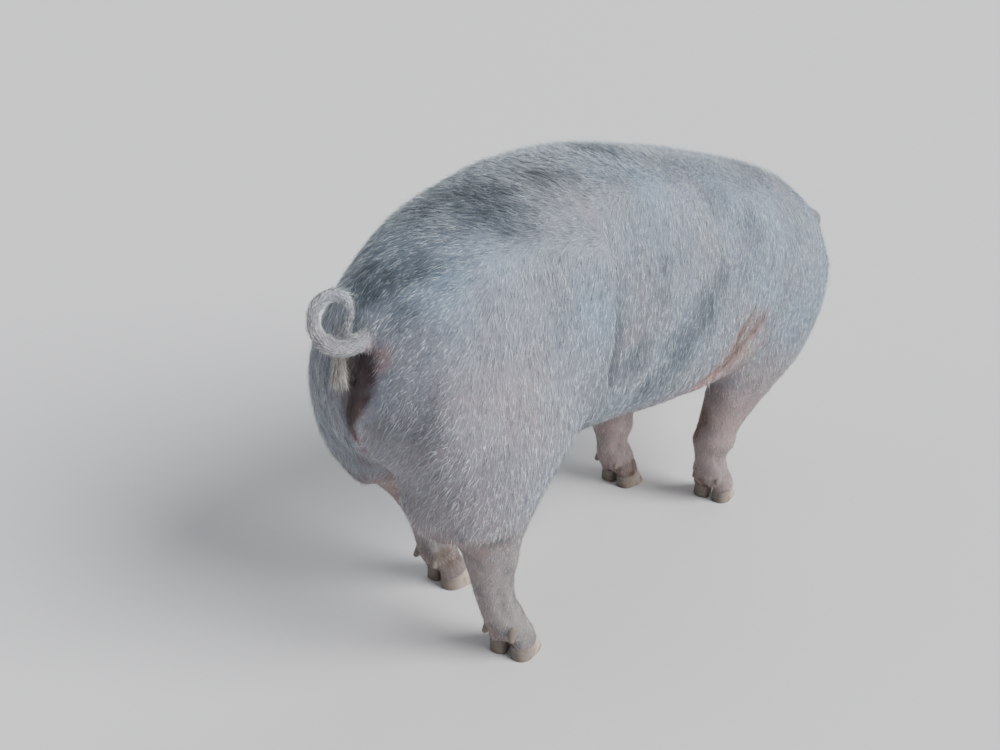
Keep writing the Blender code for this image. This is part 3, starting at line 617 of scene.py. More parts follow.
# Folds of the body: a line of points, depth and width of the crease, height and length of the swell
# behind it, and the way from the crease to that swell
FOLDS = (
    (((-0.185, 0.455, 0.835), (-0.200, 0.462, 0.807), (-0.214, 0.474, 0.776), (-0.231, 0.474, 0.722),
      (-0.237, 0.476, 0.662), (-0.238, 0.476, 0.612), (-0.240, 0.482, 0.583), (-0.234, 0.480, 0.538),
      (-0.220, 0.488, 0.498), (-0.205, 0.505, 0.475), (-0.180, 0.520, 0.455)),
     0.010, 0.0065, 0.017, 0.060, (0, 1, 0)),
    (((-0.160, 0.085, 0.392), (-0.195, 0.045, 0.415), (-0.221, 0.012, 0.439), (-0.231, -0.019, 0.467),
      (-0.237, -0.053, 0.490), (-0.245, -0.095, 0.521), (-0.248, -0.120, 0.560)),
     0.011, 0.0050, 0.009, 0.022, (0, -1, -0.6)),
    (((-0.165, 0.100, 0.395), (-0.205, 0.060, 0.422), (-0.218, 0.032, 0.440), (-0.232, 0.000, 0.475),
      (-0.242, -0.010, 0.512), (-0.247, -0.040, 0.550), (-0.248, -0.060, 0.580)),
     0.007, 0.0045, 0.004, 0.012, (0, -1, -0.6)),
    (((-0.175, 0.085, 0.398), (-0.212, 0.040, 0.432), (-0.230, -0.010, 0.465), (-0.240, -0.035, 0.500),
      (-0.246, -0.070, 0.540)), 0.005, 0.0040, 0.003, 0.008, (0, -1, -0.6)),
    (((-0.190, 0.140, 0.415), (-0.226, 0.085, 0.450), (-0.243, 0.045, 0.495), (-0.248, 0.020, 0.560)),
     0.004, 0.0070, 0.003, 0.020, (0, 1, 0.6)),
    (((-0.236, 0.540, 0.500), (-0.228, 0.505, 0.490), (-0.215, 0.462, 0.477), (-0.203, 0.414, 0.466),
      (-0.198, 0.370, 0.455)), 0.011, 0.0060, 0.005, 0.020, (0, 0, 1)),
    (((-0.085, 0.822, 0.400), (-0.109, 0.817, 0.367), (-0.122, 0.802, 0.349), (-0.142, 0.782, 0.339),
      (-0.166, 0.778, 0.344), (-0.190, 0.772, 0.350), (-0.211, 0.739, 0.347), (-0.219, 0.700, 0.343),
      (-0.215, 0.660, 0.345)), 0.011, 0.0075, 0.013, 0.045, (0, 0.3, 1)),
    (((-0.250, -0.200, 0.400), (-0.248, -0.200, 0.520), (-0.238, -0.185, 0.640), (-0.220, -0.170, 0.700)),
     0.004, 0.0160, 0.003, 0.040, (0, 1, 0)),
    (((-0.180, -0.420, 0.760), (-0.195, -0.430, 0.700), (-0.215, -0.450, 0.600), (-0.190, -0.455, 0.470),
      (-0.170, -0.450, 0.430)), 0.006, 0.0120, 0.005, 0.040, (0, 1, 0)),
    (((-0.140, -0.460, 0.690), (-0.150, -0.470, 0.640), (-0.165, -0.490, 0.540), (-0.135, -0.495, 0.440)),
     0.004, 0.0100, 0.003, 0.030, (0, 1, 0)),
)
# Broad hollows and swells: middle, size, height
SWELLS = (
    ((-0.225, 0.415, 0.700), (0.10, 0.050, 0.110), -0.009),
    ((-0.225, 0.565, 0.480), (0.10, 0.060, 0.080), 0.004),
    ((-0.190, 0.640, 0.720), (0.10, 0.060, 0.060), -0.006),
    ((-0.235, -0.090, 0.660), (0.10, 0.070, 0.160), 0.007),
    ((-0.245, 0.040, 0.640), (0.10, 0.035, 0.130), -0.006),
    ((-0.250, 0.170, 0.560), (0.10, 0.100, 0.120), 0.005),
    ((-0.222, -0.075, 0.435), (0.08, 0.050, 0.035), 0.008),
    ((-0.180, -0.240, 0.800), (0.10, 0.060, 0.050), 0.004),
    ((-0.120, 0.500, 0.860), (0.05, 0.050, 0.060), 0.004),
    ((-0.100, 0.560, 0.850), (0.05, 0.040, 0.060), -0.003),
    ((-0.085, 0.740, 0.760), (0.04, 0.050, 0.050), -0.005),
)
MIDDLE_X = -0.0262
# How strong the folds and the swells of the left side are next to those of the right
LEFT_FOLDS = 0.55
LEFT_SWELLS = 0.8


def mirrored(point, side):
    """A place on the right side, or the same place on the left one."""
    return np.array((MIDDLE_X + side * (point[0] - MIDDLE_X), point[1], point[2]))


def both_sides(line):
    """A line of the right side as it is, and mirrored on the left, each with its side."""
    return [(side, np.array([mirrored(point, side) for point in line])) for side in (1, -1)]


def shape_body(points, normals):
    """Folds at the flank, elbow and neck on both sides, and the swells of muscle under the hide."""
    move = np.zeros(len(points))
    for line, depth, width, swell, length, way in FOLDS:
        for side, path in both_sides(line):
            chosen = np.flatnonzero(norms(points - path.mean(axis=0)) < 0.34)
            off, share = line_distance(points[chosen], path)
            away = points[chosen] - place_on(path, share)
            off = off * np.sign(away @ np.array(way, float))
            fade = band(share, 0.0, 0.20, 0.82, 1.0)
            wander = 1 + 0.20 * ripple(points[chosen], 0.05, 7)
            bent = -depth * bell(off, width)
            bent += swell * step(-0.3, 1.5, off / width) * np.exp(-np.maximum(off - 1.5 * width, 0) / length)
            fall = np.exp(np.minimum(off + 1.5 * width, 0) / length * 1.6)
            bent -= 0.4 * swell * step(-0.3, 1.5, -off / width) * fall
            move[chosen] += bent * fade * wander * (1 if side == 1 else LEFT_FOLDS)
    for middle, size, height in SWELLS:
        for side in (1, -1):
            away = (points - mirrored(middle, side)) / size
            move += height * np.exp(-np.sum(away * away, axis=1)) * (1 if side == 1 else LEFT_SWELLS)
    trunk = step(0.30, 0.40, points[:, 2]) * (1 - head_share(points))
    strings = points @ np.array(((1.0, 0, 0), (0, 1.0, 0.42), (0, 0.14, 0.30)))
    move += 0.0011 * ripple(strings, 0.018, 3) * trunk * step(0.5, 0.9, np.abs(normals[:, 0]))
    move += 0.0030 * ripple(points, 0.16, 1) * trunk
    move += 0.0014 * ripple(points, 0.055, 2) * trunk
    return move


def shape_rear(points, normals):
    """The cleft between the hams and the folds under the tail."""
    x, y, z = points.T
    off = x - MIDDLE_X
    rear = step(0.60, 0.68, y) * step(0.30, 0.70, normals[:, 1])
    move = -0.009 * bell(off, 0.009) * step(0.36, 0.40, z) * drop(0.50, 0.54, z) * rear
    move -= 0.0030 * bell(off, 0.0030) * step(0.49, 0.51, z) * drop(0.585, 0.60, z) * step(0.80, 0.84, y)
    lips = band(z, 0.51, 0.53, 0.58, 0.60) * step(0.82, 0.85, y)
    move += 0.0030 * bell(np.abs(off) - 0.011, 0.007) * lips
    ring = np.hypot(off, z - 0.616)
    turn = np.arctan2(z - 0.616, off)
    close = step(0.80, 0.84, y)
    move -= 0.0075 * bell(ring, 0.006) * close
    move += 0.0011 * np.cos(9 * turn) * bell(ring - 0.011, 0.006) * close
    for side in (-1, 1):
        under = np.hypot(off - side * 0.025, z - 0.655)
        move -= 0.0050 * bell(under, 0.013) * close
    return move


def creases(p, heights, scale, seed, width):
    """Wavy lines across a leg, as a bell round each height."""
    for k, height in enumerate(heights):
        yield bell(p[:, 2] - height - 0.003 * ripple(p, scale, seed + k), width)


def leg_axis(p):
    """The middle line of a leg, read from its own points at steps of height."""
    heights = np.arange(0.03, 0.40, 0.012)
    middles = []
    for height in heights:
        slab = p[np.abs(p[:, 2] - height) < 0.009]
        middles.append(slab[:, :2].mean(axis=0) if len(slab) > 8 else middles[-1])
    return heights, np.array(middles)


def shape_legs(points):
    """Tendons, knees and hocks, and creases over the toes."""
    move = np.zeros(len(points))
    for name, (side, x, y, turn) in FEET.items():
        near = np.hypot(points[:, 0] - x, points[:, 1] - y) < 0.24
        near &= (points[:, 2] < 0.37) & (side * (points[:, 0] - MIDDLE_X) > 0)
        p = points[near]
        heights, middles = leg_axis(p)
        z = p[:, 2]
        east = p[:, 0] - np.interp(z, heights, middles[:, 0])
        north = p[:, 1] - np.interp(z, heights, middles[:, 1])
        around = np.abs(np.arctan2(east, north))
        front = step(1.2, 2.4, around)
        rear = drop(0.7, 1.6, around)
        broad = np.abs(east) / np.maximum(np.hypot(east, north), 0.001)
        hind = name.startswith("hind")
        top = 0.33 if hind else 0.19
        groove = band(z, 0.095, 0.12, top - 0.06, top)
        bent = -0.0042 * bell(around - 1.05, 0.22) * groove
        bent += 0.0022 * bell(around, 0.45) * groove
        for crease in creases(p, (0.043, 0.050, 0.058, 0.067, 0.077), 0.02, 60, 0.0019):
            bent -= 0.0011 * crease * (0.3 + 0.7 * front)
        bent += 0.0012 * bell(z - 0.040, 0.005)
        bent -= 0.0040 * bell(around, 0.22) * step(0.035, 0.05, z) * drop(0.075, 0.10, z)
        if hind:
            bent += 0.0045 * bell(z - HOCK_HEIGHT, 0.022) * rear + 0.0030 * bell(z - 0.235, 0.020) * broad
            for crease in creases(p, (0.225, 0.240, 0.256), 0.03, 70, 0.0028):
                bent -= 0.0013 * crease * front
        else:
            bent += 0.0045 * bell(z - KNEE_HEIGHT, 0.020) * front + 0.0030 * bell(z - 0.165, 0.016) * broad
            bent += 0.0035 * bell(z - 0.180, 0.014) * rear
            for crease in creases(p, (0.148, 0.158, 0.186, 0.198), 0.03, 80, 0.0028):
                bent -= 0.0012 * crease * (front + 0.5 * rear)
        bent += 0.0008 * ripple(p, 0.022, 90)
        move[near] += bent * drop(0.32, 0.37, z)
    return move


def shape_tail(points):
    """Faint rings round the tail, closest near its root."""
    off, share = line_distance(points, tail_points()[0][::3])
    ring = np.sin(share * (95 - 30 * share))
    return -0.0005 * (0.5 + 0.5 * ring) * (off < 0.024) * step(0.06, 0.14, share)


def with_ears(body, nodes):
    """Both ears, rounded off, grown onto the head, and the join softened."""
    graph = bpy.context.evaluated_depsgraph_get()
    head_tree = BVHTree.FromObject(body, graph)
    ear_trees = []
    for suffix in ("R", "L"):
        ear = merged_copy(nodes["ear_" + suffix])
        apply_modifier(ear, "SUBSURF", levels=1, render_levels=1)
        ear_trees.append(BVHTree.FromObject(ear, bpy.context.evaluated_depsgraph_get()))
        apply_modifier(body, "BOOLEAN", operation="UNION", object=ear, solver="MANIFOLD")
        bpy.data.objects.remove(ear)
    with editing(body) as bm:
        bmesh.ops.triangulate(bm, faces=bm.faces[:])
    keep_largest(body)
    points = points_of(body)
    local = in_head(points)
    root = np.array([np.abs(local[:, 0]) - 0.072, local[:, 1] - 0.070, local[:, 2] - 0.084]).T
    weights = np.zeros(len(points))
    for index in np.flatnonzero(norms(root) < 0.075):
        point = Vector(points[index])
        off_head = head_tree.find_nearest(point)[3]
        off_ear = min(tree.find_nearest(point)[3] for tree in ear_trees)
        weights[index] = math.exp(-((off_head + off_ear) / 0.0065) ** 2)
    relax(body, weights, 30)


def ear_share(points):
    """1 on the free part of the ears."""
    local = in_head(points)
    off, _ = line_distance(np.column_stack([np.abs(local[:, 0]), local[:, 1], local[:, 2]]), EAR_LINE)
    return drop(0.050, 0.070, off)


def skin(nodes):
    """The whole hide as one closed mesh, from the snout to the tail and down to the claws."""
    body = whole_body(nodes)
    reduce_body(body)
    frames = eye_frames()

    def near_eyes(size):
        return lambda middles: np.minimum.reduce(
            [norms(middles - np.array(f[0])) for f in frames.values()]) < size

    def near_mouth(middles):
        local = in_head(middles)
        off, _ = line_distance(local[:, 1:3], MOUTH_LINE)
        snout = (local[:, 1] > 0.300) & (local[:, 1] < 0.40)
        return ((off < 0.008) | snout) & (head_share(middles) > 0.5)

    def near_nostrils(middles):
        local = in_head(middles)
        away = np.hypot(np.abs(local[:, 0]) - NOSTRIL_PLACE[0], local[:, 2] - NOSTRIL_PLACE[2])
        return (away < 0.016) & (local[:, 1] > 0.36)

    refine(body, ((near_mouth, near_nostrils, near_eyes(0.026), near_eyes(0.020), near_eyes(0.0165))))
    points = points_of(body)
    trunk = step(0.28, 0.40, points[:, 2]) * (1 - head_share(points))
    normals = averaged(normals_of(body), edges_of(body), 0.6 * trunk, 5)
    normals = unit(normals)
    move = shape_face(points) + shape_body(points, normals) + shape_legs(points)
    move += shape_rear(points, normals)
    move += shape_tail(points)
    move -= 0.0030 * trunk * step(0.02, 0.05, off_tail(points))
    points += normals * move[:, None]
    set_points(body, points)
    relax(body, 0.18 + 0.55 * trunk, 2)
    points = points_of(body)
    shape_nostrils(points)
    shape_eyes(points, frames)
    set_points(body, points)
    with_ears(body, nodes)
    return body


# Darker patches of the hide: x, y, z of the middle, size, strength
PATCHES = (
    (-0.040, 0.614, 0.872, 0.085, 0.95), (-0.095, 0.633, 0.855, 0.070, 0.90), (-0.077, 0.480, 0.894, 0.055, 0.75),
    (-0.130, 0.600, 0.820, 0.055, 0.55), (0.007, 0.670, 0.849, 0.055, 0.80), (-0.010, 0.806, 0.760, 0.060, 0.90),
    (0.030, 0.790, 0.755, 0.055, 0.85), (-0.060, 0.770, 0.785, 0.048, 0.85), (-0.075, 0.820, 0.730, 0.040, 0.60),
    (-0.042, 0.276, 0.899, 0.055, 0.90), (-0.042, 0.210, 0.893, 0.045, 0.80), (-0.189, 0.072, 0.804, 0.065, 0.50),
    (-0.221, -0.024, 0.738, 0.060, 0.50), (-0.250, 0.175, 0.615, 0.075, 0.80), (-0.250, 0.120, 0.660, 0.055, 0.65),
    (-0.248, 0.240, 0.555, 0.070, 0.75), (-0.235, 0.310, 0.735, 0.035, 0.50), (-0.240, 0.330, 0.680, 0.035, 0.45),
    (-0.243, 0.380, 0.575, 0.060, 0.65), (-0.238, 0.440, 0.560, 0.040, 0.70), (-0.240, 0.290, 0.500, 0.070, 0.60),
    (-0.200, 0.430, 0.470, 0.055, 0.50), (0.130, 0.560, 0.800, 0.070, 0.75), (0.180, 0.300, 0.700, 0.065, 0.65),
    (0.190, 0.120, 0.620, 0.075, 0.75), (0.170, -0.060, 0.770, 0.060, 0.60), (0.185, 0.640, 0.560, 0.070, 0.50),
    (-0.080, -0.220, 0.830, 0.070, 0.45), (0.020, -0.380, 0.760, 0.060, 0.50), (0.190, -0.250, 0.600, 0.065, 0.45),
    (-0.150, 0.850, 0.560, 0.045, 0.35), (0.060, 0.860, 0.600, 0.060, 0.45), (-0.010, 0.878, 0.560, 0.040, 0.55),
)
# Reddish places: x, y, z, size, strength
FLUSHES = (
    (-0.190, 0.050, 0.405, 0.080, 1.0), (-0.225, -0.020, 0.450, 0.095, 0.85), (-0.240, -0.050, 0.510, 0.080, 0.75),
    (-0.225, -0.090, 0.430, 0.080, 0.85), (0.173, -0.090, 0.430, 0.080, 0.85),
    (0.138, 0.050, 0.405, 0.080, 1.0), (0.173, -0.020, 0.450, 0.095, 0.85), (-0.066, 0.858, 0.658, 0.034, 0.95),
    (0.010, 0.866, 0.672, 0.024, 0.9), (-0.200, 0.480, 0.470, 0.045, 0.5), (0.148, 0.480, 0.470, 0.045, 0.5),
    (-0.110, 0.790, 0.380, 0.060, 0.35), (0.060, 0.760, 0.400, 0.060, 0.4),
)
# Dried dirt: x, y, z, size, strength
DIRT = (
    (-0.110, -0.140, 0.225, 0.036, 0.95), (-0.108, -0.150, 0.190, 0.028, 0.85), (-0.112, -0.165, 0.060, 0.045, 1.0),
    (-0.100, -0.190, 0.030, 0.045, 1.0), (-0.100, -0.180, 0.090, 0.030, 0.8), (0.060, -0.100, 0.050, 0.045, 0.9),
    (0.085, -0.095, 0.080, 0.035, 0.7), (0.060, 0.520, 0.080, 0.060, 0.8), (0.070, 0.770, 0.384, 0.050, 0.5),
    (0.020, 0.800, 0.430, 0.040, 0.5), (-0.070, 0.862, 0.540, 0.050, 0.35), (-0.120, 0.640, 0.060, 0.040, 0.45),
    (-0.150, 0.650, 0.030, 0.040, 0.5), (-0.160, -0.130, 0.120, 0.020, 0.35), (-0.120, 0.720, 0.300, 0.040, 0.4),
)


def highest(*fields):
    """The greatest of several fields at each point."""
    return np.maximum.reduce(fields)


def spots(points, places, wander):
    """The strongest of several round soft spots at each point."""
    value = np.zeros(len(points))
    for x, y, z, size, strength in places:
        off = norms(points - (x, y, z)) * wander / size
        value = np.maximum(value, strength * drop(0.25, 1.20, off))
    return value


def fold_marks(points):
    """Darker brown along the creases, partly dirt and partly painted shade, and painted shade on the hide beside the
    flank and ham folds, on the side away from the swell.
    """
    crease, shade = np.zeros(len(points)), np.zeros(len(points))
    for line, _, width, _, _, way in FOLDS[:7]:
        for side, path in both_sides(line):
            inside = np.all((points > path.min(axis=0) - 0.08) & (points < path.max(axis=0) + 0.08), axis=1)
            chosen = np.flatnonzero(inside)
            off, share = line_distance(points[chosen], path)
            ends = band(share, 0.0, 0.20, 0.82, 1.0)
            # Darker brown along each crease, partly dirt and partly painted shade, wider and stronger at the elbow
            # folds
            dirt_and_shade = (0.80 if way[1] < 0 else 0.30) * bell(off, (1.4 if way[1] < 0 else 0.6) * width) * ends
            crease[chosen] = np.maximum(crease[chosen], dirt_and_shade)
            away = (points[chosen] - place_on(path, share)) @ np.array(way, float)
            # Painted shade beside the flank and ham folds, on the side away from the swell, strong on the right side
            # and faint on the left
            low = bell(off, 0.050 if way[1] == 1 else 0.028) * step(-0.002, 0.002, -away)
            low *= band(share, 0.05, 0.5, 0.85, 1.0) * (way[1] in (0.3, 1) and way[2] in (0, 1))
            shade[chosen] = np.maximum(shade[chosen], (1.20 if side == 1 else 0.25) * low)
    return crease, np.minimum(shade, 1)


def marks(points, normals):
    """The hide's markings at points: dark patches, darker mottling towards the bottom, painted shade beside the flank
    and ham folds, pink zones, the dark skin under the tail with painted shade, and dirt with painted shade in the
    creases.
    """
    wander = 1 + 0.25 * ripple(points, 0.030, 11) + 0.15 * ripple(points, 0.012, 12)
    x, y, z = points.T
    local = in_head(points)
    head = head_share(points)
    ears = ear_share(points)
    lower = drop(0.24, 0.46, z)
    fore = drop(0.0, 0.3, y)
    crease, shade = fold_marks(points)
    tail = tail_share(points, 0.018, 0.024)
    dark = highest(
        spots(points, PATCHES, wander),
        0.20 * step(-0.2, 0.9, ripple(points, 0.07, 13)) * step(0.3, 0.5, z),
        0.42 * lower * step(-0.1, 0.7, ripple(points, 0.016, 16)) * (1 - 0.5 * fore),
        # painted shade beside the flank and ham folds
        shade,
    )
    inner = step(0.1, 0.6, -(normals @ head_turn()[:, 2])) * ears
    lips, _ = line_distance(local[:, 1:3], MOUTH_LINE)
    pink = highest(
        (0.12 + 0.34 * fore) * lower,
        0.75 * step(0.1, 0.7, -normals[:, 2]) * drop(0.36, 0.46, z),
        0.30 * step(0.50, 0.80, y) * drop(0.60, 0.80, z),
        spots(points, FLUSHES, wander),
        0.38 * head * (1 - 0.4 * ears) + 0.45 * inner,
        step(SNOUT_EDGE, 0.372, local[:, 1]) * head,
        0.9 * drop(0.006, 0.016, lips) * head,
    )
    # Dark skin under the tail with painted shade over it, lighter on its left side as a painted sheen
    shift = x + 0.031 - 0.20 * (0.645 - z)
    half = 0.043 - 0.10 * np.clip(0.62 - z, 0, 0.11)
    under_tail_dark_and_shade = np.hypot(shift / half, (z - 0.596) / 0.094) * (0.9 + 0.1 * wander)
    under_tail_dark_and_shade = drop(0.62, 1.15, under_tail_dark_and_shade) * step(0.80, 0.84, y) * (1 - 0.35 * step(0.000, 0.014, shift))
    seam = bell((x - MIDDLE_X) * wander, 0.0045) * step(0.38, 0.44, z) * drop(0.51, 0.54, z)
    seam *= step(0.65, 0.75, y)
    dirt_and_shade = highest(0.35 * drop(0.02, 0.16, z) * step(-0.3, 0.7, ripple(points, 0.022, 14)),
                   spots(points, DIRT, wander))
    # The creases darkened as well, partly dirt and partly painted shade
    dirt_and_shade = highest(dirt_and_shade * (0.75 + 0.25 * ripple(points, 0.008, 15)), crease)
    dark, dirt_and_shade, under_tail_dark_and_shade = dark * (1 - tail), dirt_and_shade * (1 - 0.8 * tail), under_tail_dark_and_shade * (1 - tail)
    tip = norms(points - tail_points()[0][-1])
    low = highest(lower * (1 - 0.5 * pink), drop(0.035, 0.065, tip), 0.40 * tail)
    return {"dark": np.clip(dark, 0, 1), "pink": np.clip(pink, 0, 1.2), "under_tail_dark_and_shade": np.clip(under_tail_dark_and_shade, 0, 1),
            "mud_and_shade": np.clip(dirt_and_shade, 0, 1), "seam": np.clip(seam, 0, 1), "low": np.clip(low, 0, 1)}


def write_marks(mesh, values, repeat=1):
    for name, value in values.items():
        layer = mesh.attributes.new(name, "FLOAT", "POINT")
        layer.data.foreach_set("value", np.repeat(value, repeat).astype(np.float32))


def unwrap(body):
    """The hide's own unwrap, which also gives each bristle a small patch on it at its root."""
    body.data.uv_layers.new(name="OFBake")
    select_only(body)
    bpy.ops.object.mode_set(mode="EDIT")
    bpy.ops.mesh.select_all(action="SELECT")
    bpy.ops.uv.smart_project(angle_limit=math.radians(66), island_margin=0.002)
    bpy.ops.object.mode_set(mode="OBJECT")


def lie(points, normals):
    """The way the hair lies at points, as unit vectors along the hide."""
    x, y, z = points.T
    way = np.column_stack([np.zeros(len(points)), 0.45 - 0.15 * step(0.45, 0.70, y), -np.ones(len(points))])
    rear = step(0.25, 0.80, normals[:, 1]) * step(0.4, 0.6, y)
    way[:, 0] -= 0.55 * np.tanh((x - MIDDLE_X) / 0.03) * rear
    way[:, 1] += 0.25 * drop(0.10, 0.40, y) * step(0.46, 0.60, z)
    ridge = step(0.45, 0.90, normals[:, 2])
    top = np.column_stack([np.full(len(points), 0.05), np.ones(len(points)), np.full(len(points), -0.1)])
    swirl = step(0.38, 0.52, y) * drop(0.02, 0.12, x) * drop(0.72, 0.80, y)
    top += swirl[:, None] * (0.75, -0.1, 0.0)
    way += (top - way) * ridge[:, None]
    away = points - np.array(TAIL_ROOT)
    reach = norms(away)
    near = drop(0.025, 0.085, reach) * step(-0.05, 0.03, z - 0.68)
    way += (away / np.maximum(reach, 0.001)[:, None] * (1, 0.3, 1) + (0, 0, 0.2) - way) * 0.25 * near[:, None]
    legs = drop(0.34, 0.46, z)
    turn = head_turn()
    side = np.sign(in_head(points)[:, :1])
    along_ear = np.column_stack([side * 0.46, 0 * side + 0.80, 0 * side + 0.12]) @ turn.T
    for target, share in (
        (np.array((0, 1.0, 0.0)), step(0.3, 0.8, -normals[:, 2])),
        (np.array((0, 0.15, -1.0)), legs),
        (np.array((0, 0.9, -0.55)), drop(-0.42, -0.25, y) * (1 - ridge) * (1 - legs)),
        (turn @ (0, -1, -0.15), head_share(points)),
        (along_ear, ear_share(points)),
    ):
        way += (target - way) * share[:, None]
    middle = tail_points()[0]
    tangents = np.gradient(middle, axis=0)
    for k in range(6, len(middle)):
        close = norms(points - middle[k]) < 0.0185
        way[close] = tangents[k] / np.linalg.norm(tangents[k])
    way += 0.16 * np.column_stack([ripple(points, 0.055, seed) for seed in (21, 22, 23)])
    way -= normals * np.sum(way * normals, axis=1)[:, None]
    return way / np.maximum(norms(way), 0.001)[:, None]


def hair_sizes(points, normals):
    """Density, length and thickness of the bristles at points of the hide, by region."""
    x, y, z = points.T
    local = in_head(points)
    head = head_share(points)
    ears = ear_share(points)
    legs = drop(0.26, 0.42, z)
    under = step(0.3, 0.8, -normals[:, 2])
    crest = step(0.75, 0.95, normals[:, 2]) * (1 - head) * step(0.6, 0.7, z)
    tail = tail_share(points)
    face = BROW_HAIR - MUZZLE_CUT * step(0.20, 0.35, local[:, 1])
    length = TRUNK_HAIR + 0.002 * crest
    length += (BELLY_HAIR - length) * under * (1 - head)
    for target, share in ((LEG_HAIR, legs), (face, head), (EAR_HAIR, ears), (0.0080, tail), (TAIL_HAIR, tail)):
        length += (target - length) * share
    density = 1 + 0.3 * legs + 2.2 * head + 0.8 * ears - 0.45 * under * (1 - legs) * (1 - head)
    density += 1.6 * tail
    # Nearly bare where the dark skin and painted shade under the tail are
    density *= 1 - 0.92 * marks(points, normals)["under_tail_dark_and_shade"]
    vent = np.hypot((x + 0.018) / 0.050, (z - 0.60) / 0.11)
    length *= 1 - 0.55 * drop(0.6, 1.2, vent) * step(0.80, 0.84, y) * (1 - tail)
    density *= 1 - 0.45 * np.minimum(spots(points, FLUSHES, 1.0), 1.0)
    # Fewer bristles in the painted shade beside the flank and ham folds, so that it shows darker
    density *= 1 - 0.60 * fold_marks(points)[1]
    density *= 1 - head * step(SNOUT_EDGE, 0.371, local[:, 1])
    lips, _ = line_distance(local[:, 1:3], MOUTH_LINE)
    density *= 1 - 0.9 * head * drop(0.004, 0.007, lips)
    for centre, *_ in eye_frames().values():
        density *= step(0.0165, 0.0200, norms(points - np.array(centre)))
    density *= 1 - 0.9 * (normals[:, 2] < -0.9) * (z < 0.06)
    thickness = 0.00049 - 0.00023 * head - 0.00004 * ears - 0.00010 * legs
    return np.maximum(density, 0), length, thickness


def sow_roots(body, count, seed, share=None):
    """Roots scattered over the hide by density: places, normals, and places on its unwrap."""
    mesh = body.data
    mesh.calc_loop_triangles()
    triangles = read(mesh.loop_triangles, "vertices", 3, np.int32)
    corners = read(mesh.loop_triangles, "loops", 3, np.int32)
    points, normals = points_of(body), normals_of(body)
    flat = read(mesh.uv_layers["OFBake"].data, "uv", 2, np.float32)
    a, b, c = (points[triangles[:, k]] for k in range(3))
    areas = norms(np.cross(b - a, c - a)) / 2
    middles, leanings = (a + b + c) / 3, normals[triangles].mean(axis=1)
    density = hair_sizes(middles, leanings)[0]
    if share is not None:
        density = density * share(middles, leanings)
    weight = areas * density
    rng = np.random.default_rng(seed)
    chosen = rng.choice(len(areas), size=count, p=weight / weight.sum())
    u, v = rng.random(count), rng.random(count)
    over = u + v > 1
    u[over], v[over] = 1 - u[over], 1 - v[over]
    mix = np.column_stack([1 - u - v, u, v])
    place = np.einsum("nk,nkd->nd", mix, points[triangles[chosen]])
    normal = np.einsum("nk,nkd->nd", mix, normals[triangles[chosen]])
    return place, unit(normal), np.einsum("nk,nkd->nd", mix, flat[corners[chosen]])


def mesh_from(name, points, faces):
    """A triangle mesh from arrays of points and faces."""
    mesh = bpy.data.meshes.new(name)
    mesh.vertices.add(len(points))
    mesh.vertices.foreach_set("co", points.ravel())
    mesh.loops.add(faces.size)
    mesh.loops.foreach_set("vertex_index", faces.ravel().astype(np.int32))
    mesh.polygons.add(len(faces))
    mesh.polygons.foreach_set("loop_start", np.arange(0, faces.size, 3, dtype=np.int32))
    mesh.polygons.foreach_set("loop_total", np.full(len(faces), 3, dtype=np.int32))
    mesh.update(calc_edges=True)
    return mesh


def bristle_piece(name, root, way, out, length, width, curl, flat, rows, bright, seed):
    """Closed three-sided bristles, each bending a little from its root to a point."""
    rng = np.random.default_rng(seed)
    count = len(root)
    side = unit(np.cross(way, out))
    up = np.cross(side, way)
    rings = []
    for k in range(rows):
        share = k / rows
        middle = root + way * (length * share)[:, None] - up * (curl * length * share * share)[:, None]
        if k == 0:
            middle = middle - out * 0.0008
        thick = width * (1 - 0.45 * share) / 2
        for turn in range(3):
            angle = 2 * math.pi * turn / 3
            rings.append(middle + (side * math.cos(angle) + up * math.sin(angle)) * thick[:, None])
    rings.append(root + way * length[:, None] - up * (curl * length)[:, None])
    points = np.stack(rings, axis=1)
    faces = [(0, 2, 1)]
    for k in range(rows - 1):
        for turn in range(3):
            a, b = 3 * k + turn, 3 * k + (turn + 1) % 3
            faces += [(a, b, b + 3), (a, b + 3, a + 3)]
    tip = 3 * rows
    faces += [(tip - 3 + turn, tip - 3 + (turn + 1) % 3, tip) for turn in range(3)]
    faces = np.array(faces)
    every = faces[None] + (np.arange(count) * points.shape[1])[:, None, None]
    mesh = mesh_from(name, points.reshape(-1, 3), every.reshape(-1, 3))
    patch = np.array([(math.cos(a), math.sin(a)) for a in np.linspace(0, 6, points.shape[1])]) * COAT_PATCH / 2
    patches = (flat[:, None, :] + patch[None])[:, faces.ravel(), :]
    mesh.uv_layers.new(name="OFBake")
    mesh.uv_layers["OFBake"].data.foreach_set("uv", patches.astype(np.float32).ravel())
    write_marks(mesh, marks(root, out), points.shape[1])
    reach = np.tile(np.append(np.repeat(np.arange(rows) / rows, 3), 1.0), count)
    write_marks(mesh, {"reach": reach})
    streak = ripple(root @ np.array(((1.0, 0, 0), (0, 1.0, 0), (0, 0.4, 0.35))), 0.0065, 55)
    tone = 0.25 * rng.random(count) + 0.75 * bright + 0.30 * streak
    write_marks(mesh, {"tone": np.clip(tone, 0, 1)}, points.shape[1])
    return new_object(name, mesh)


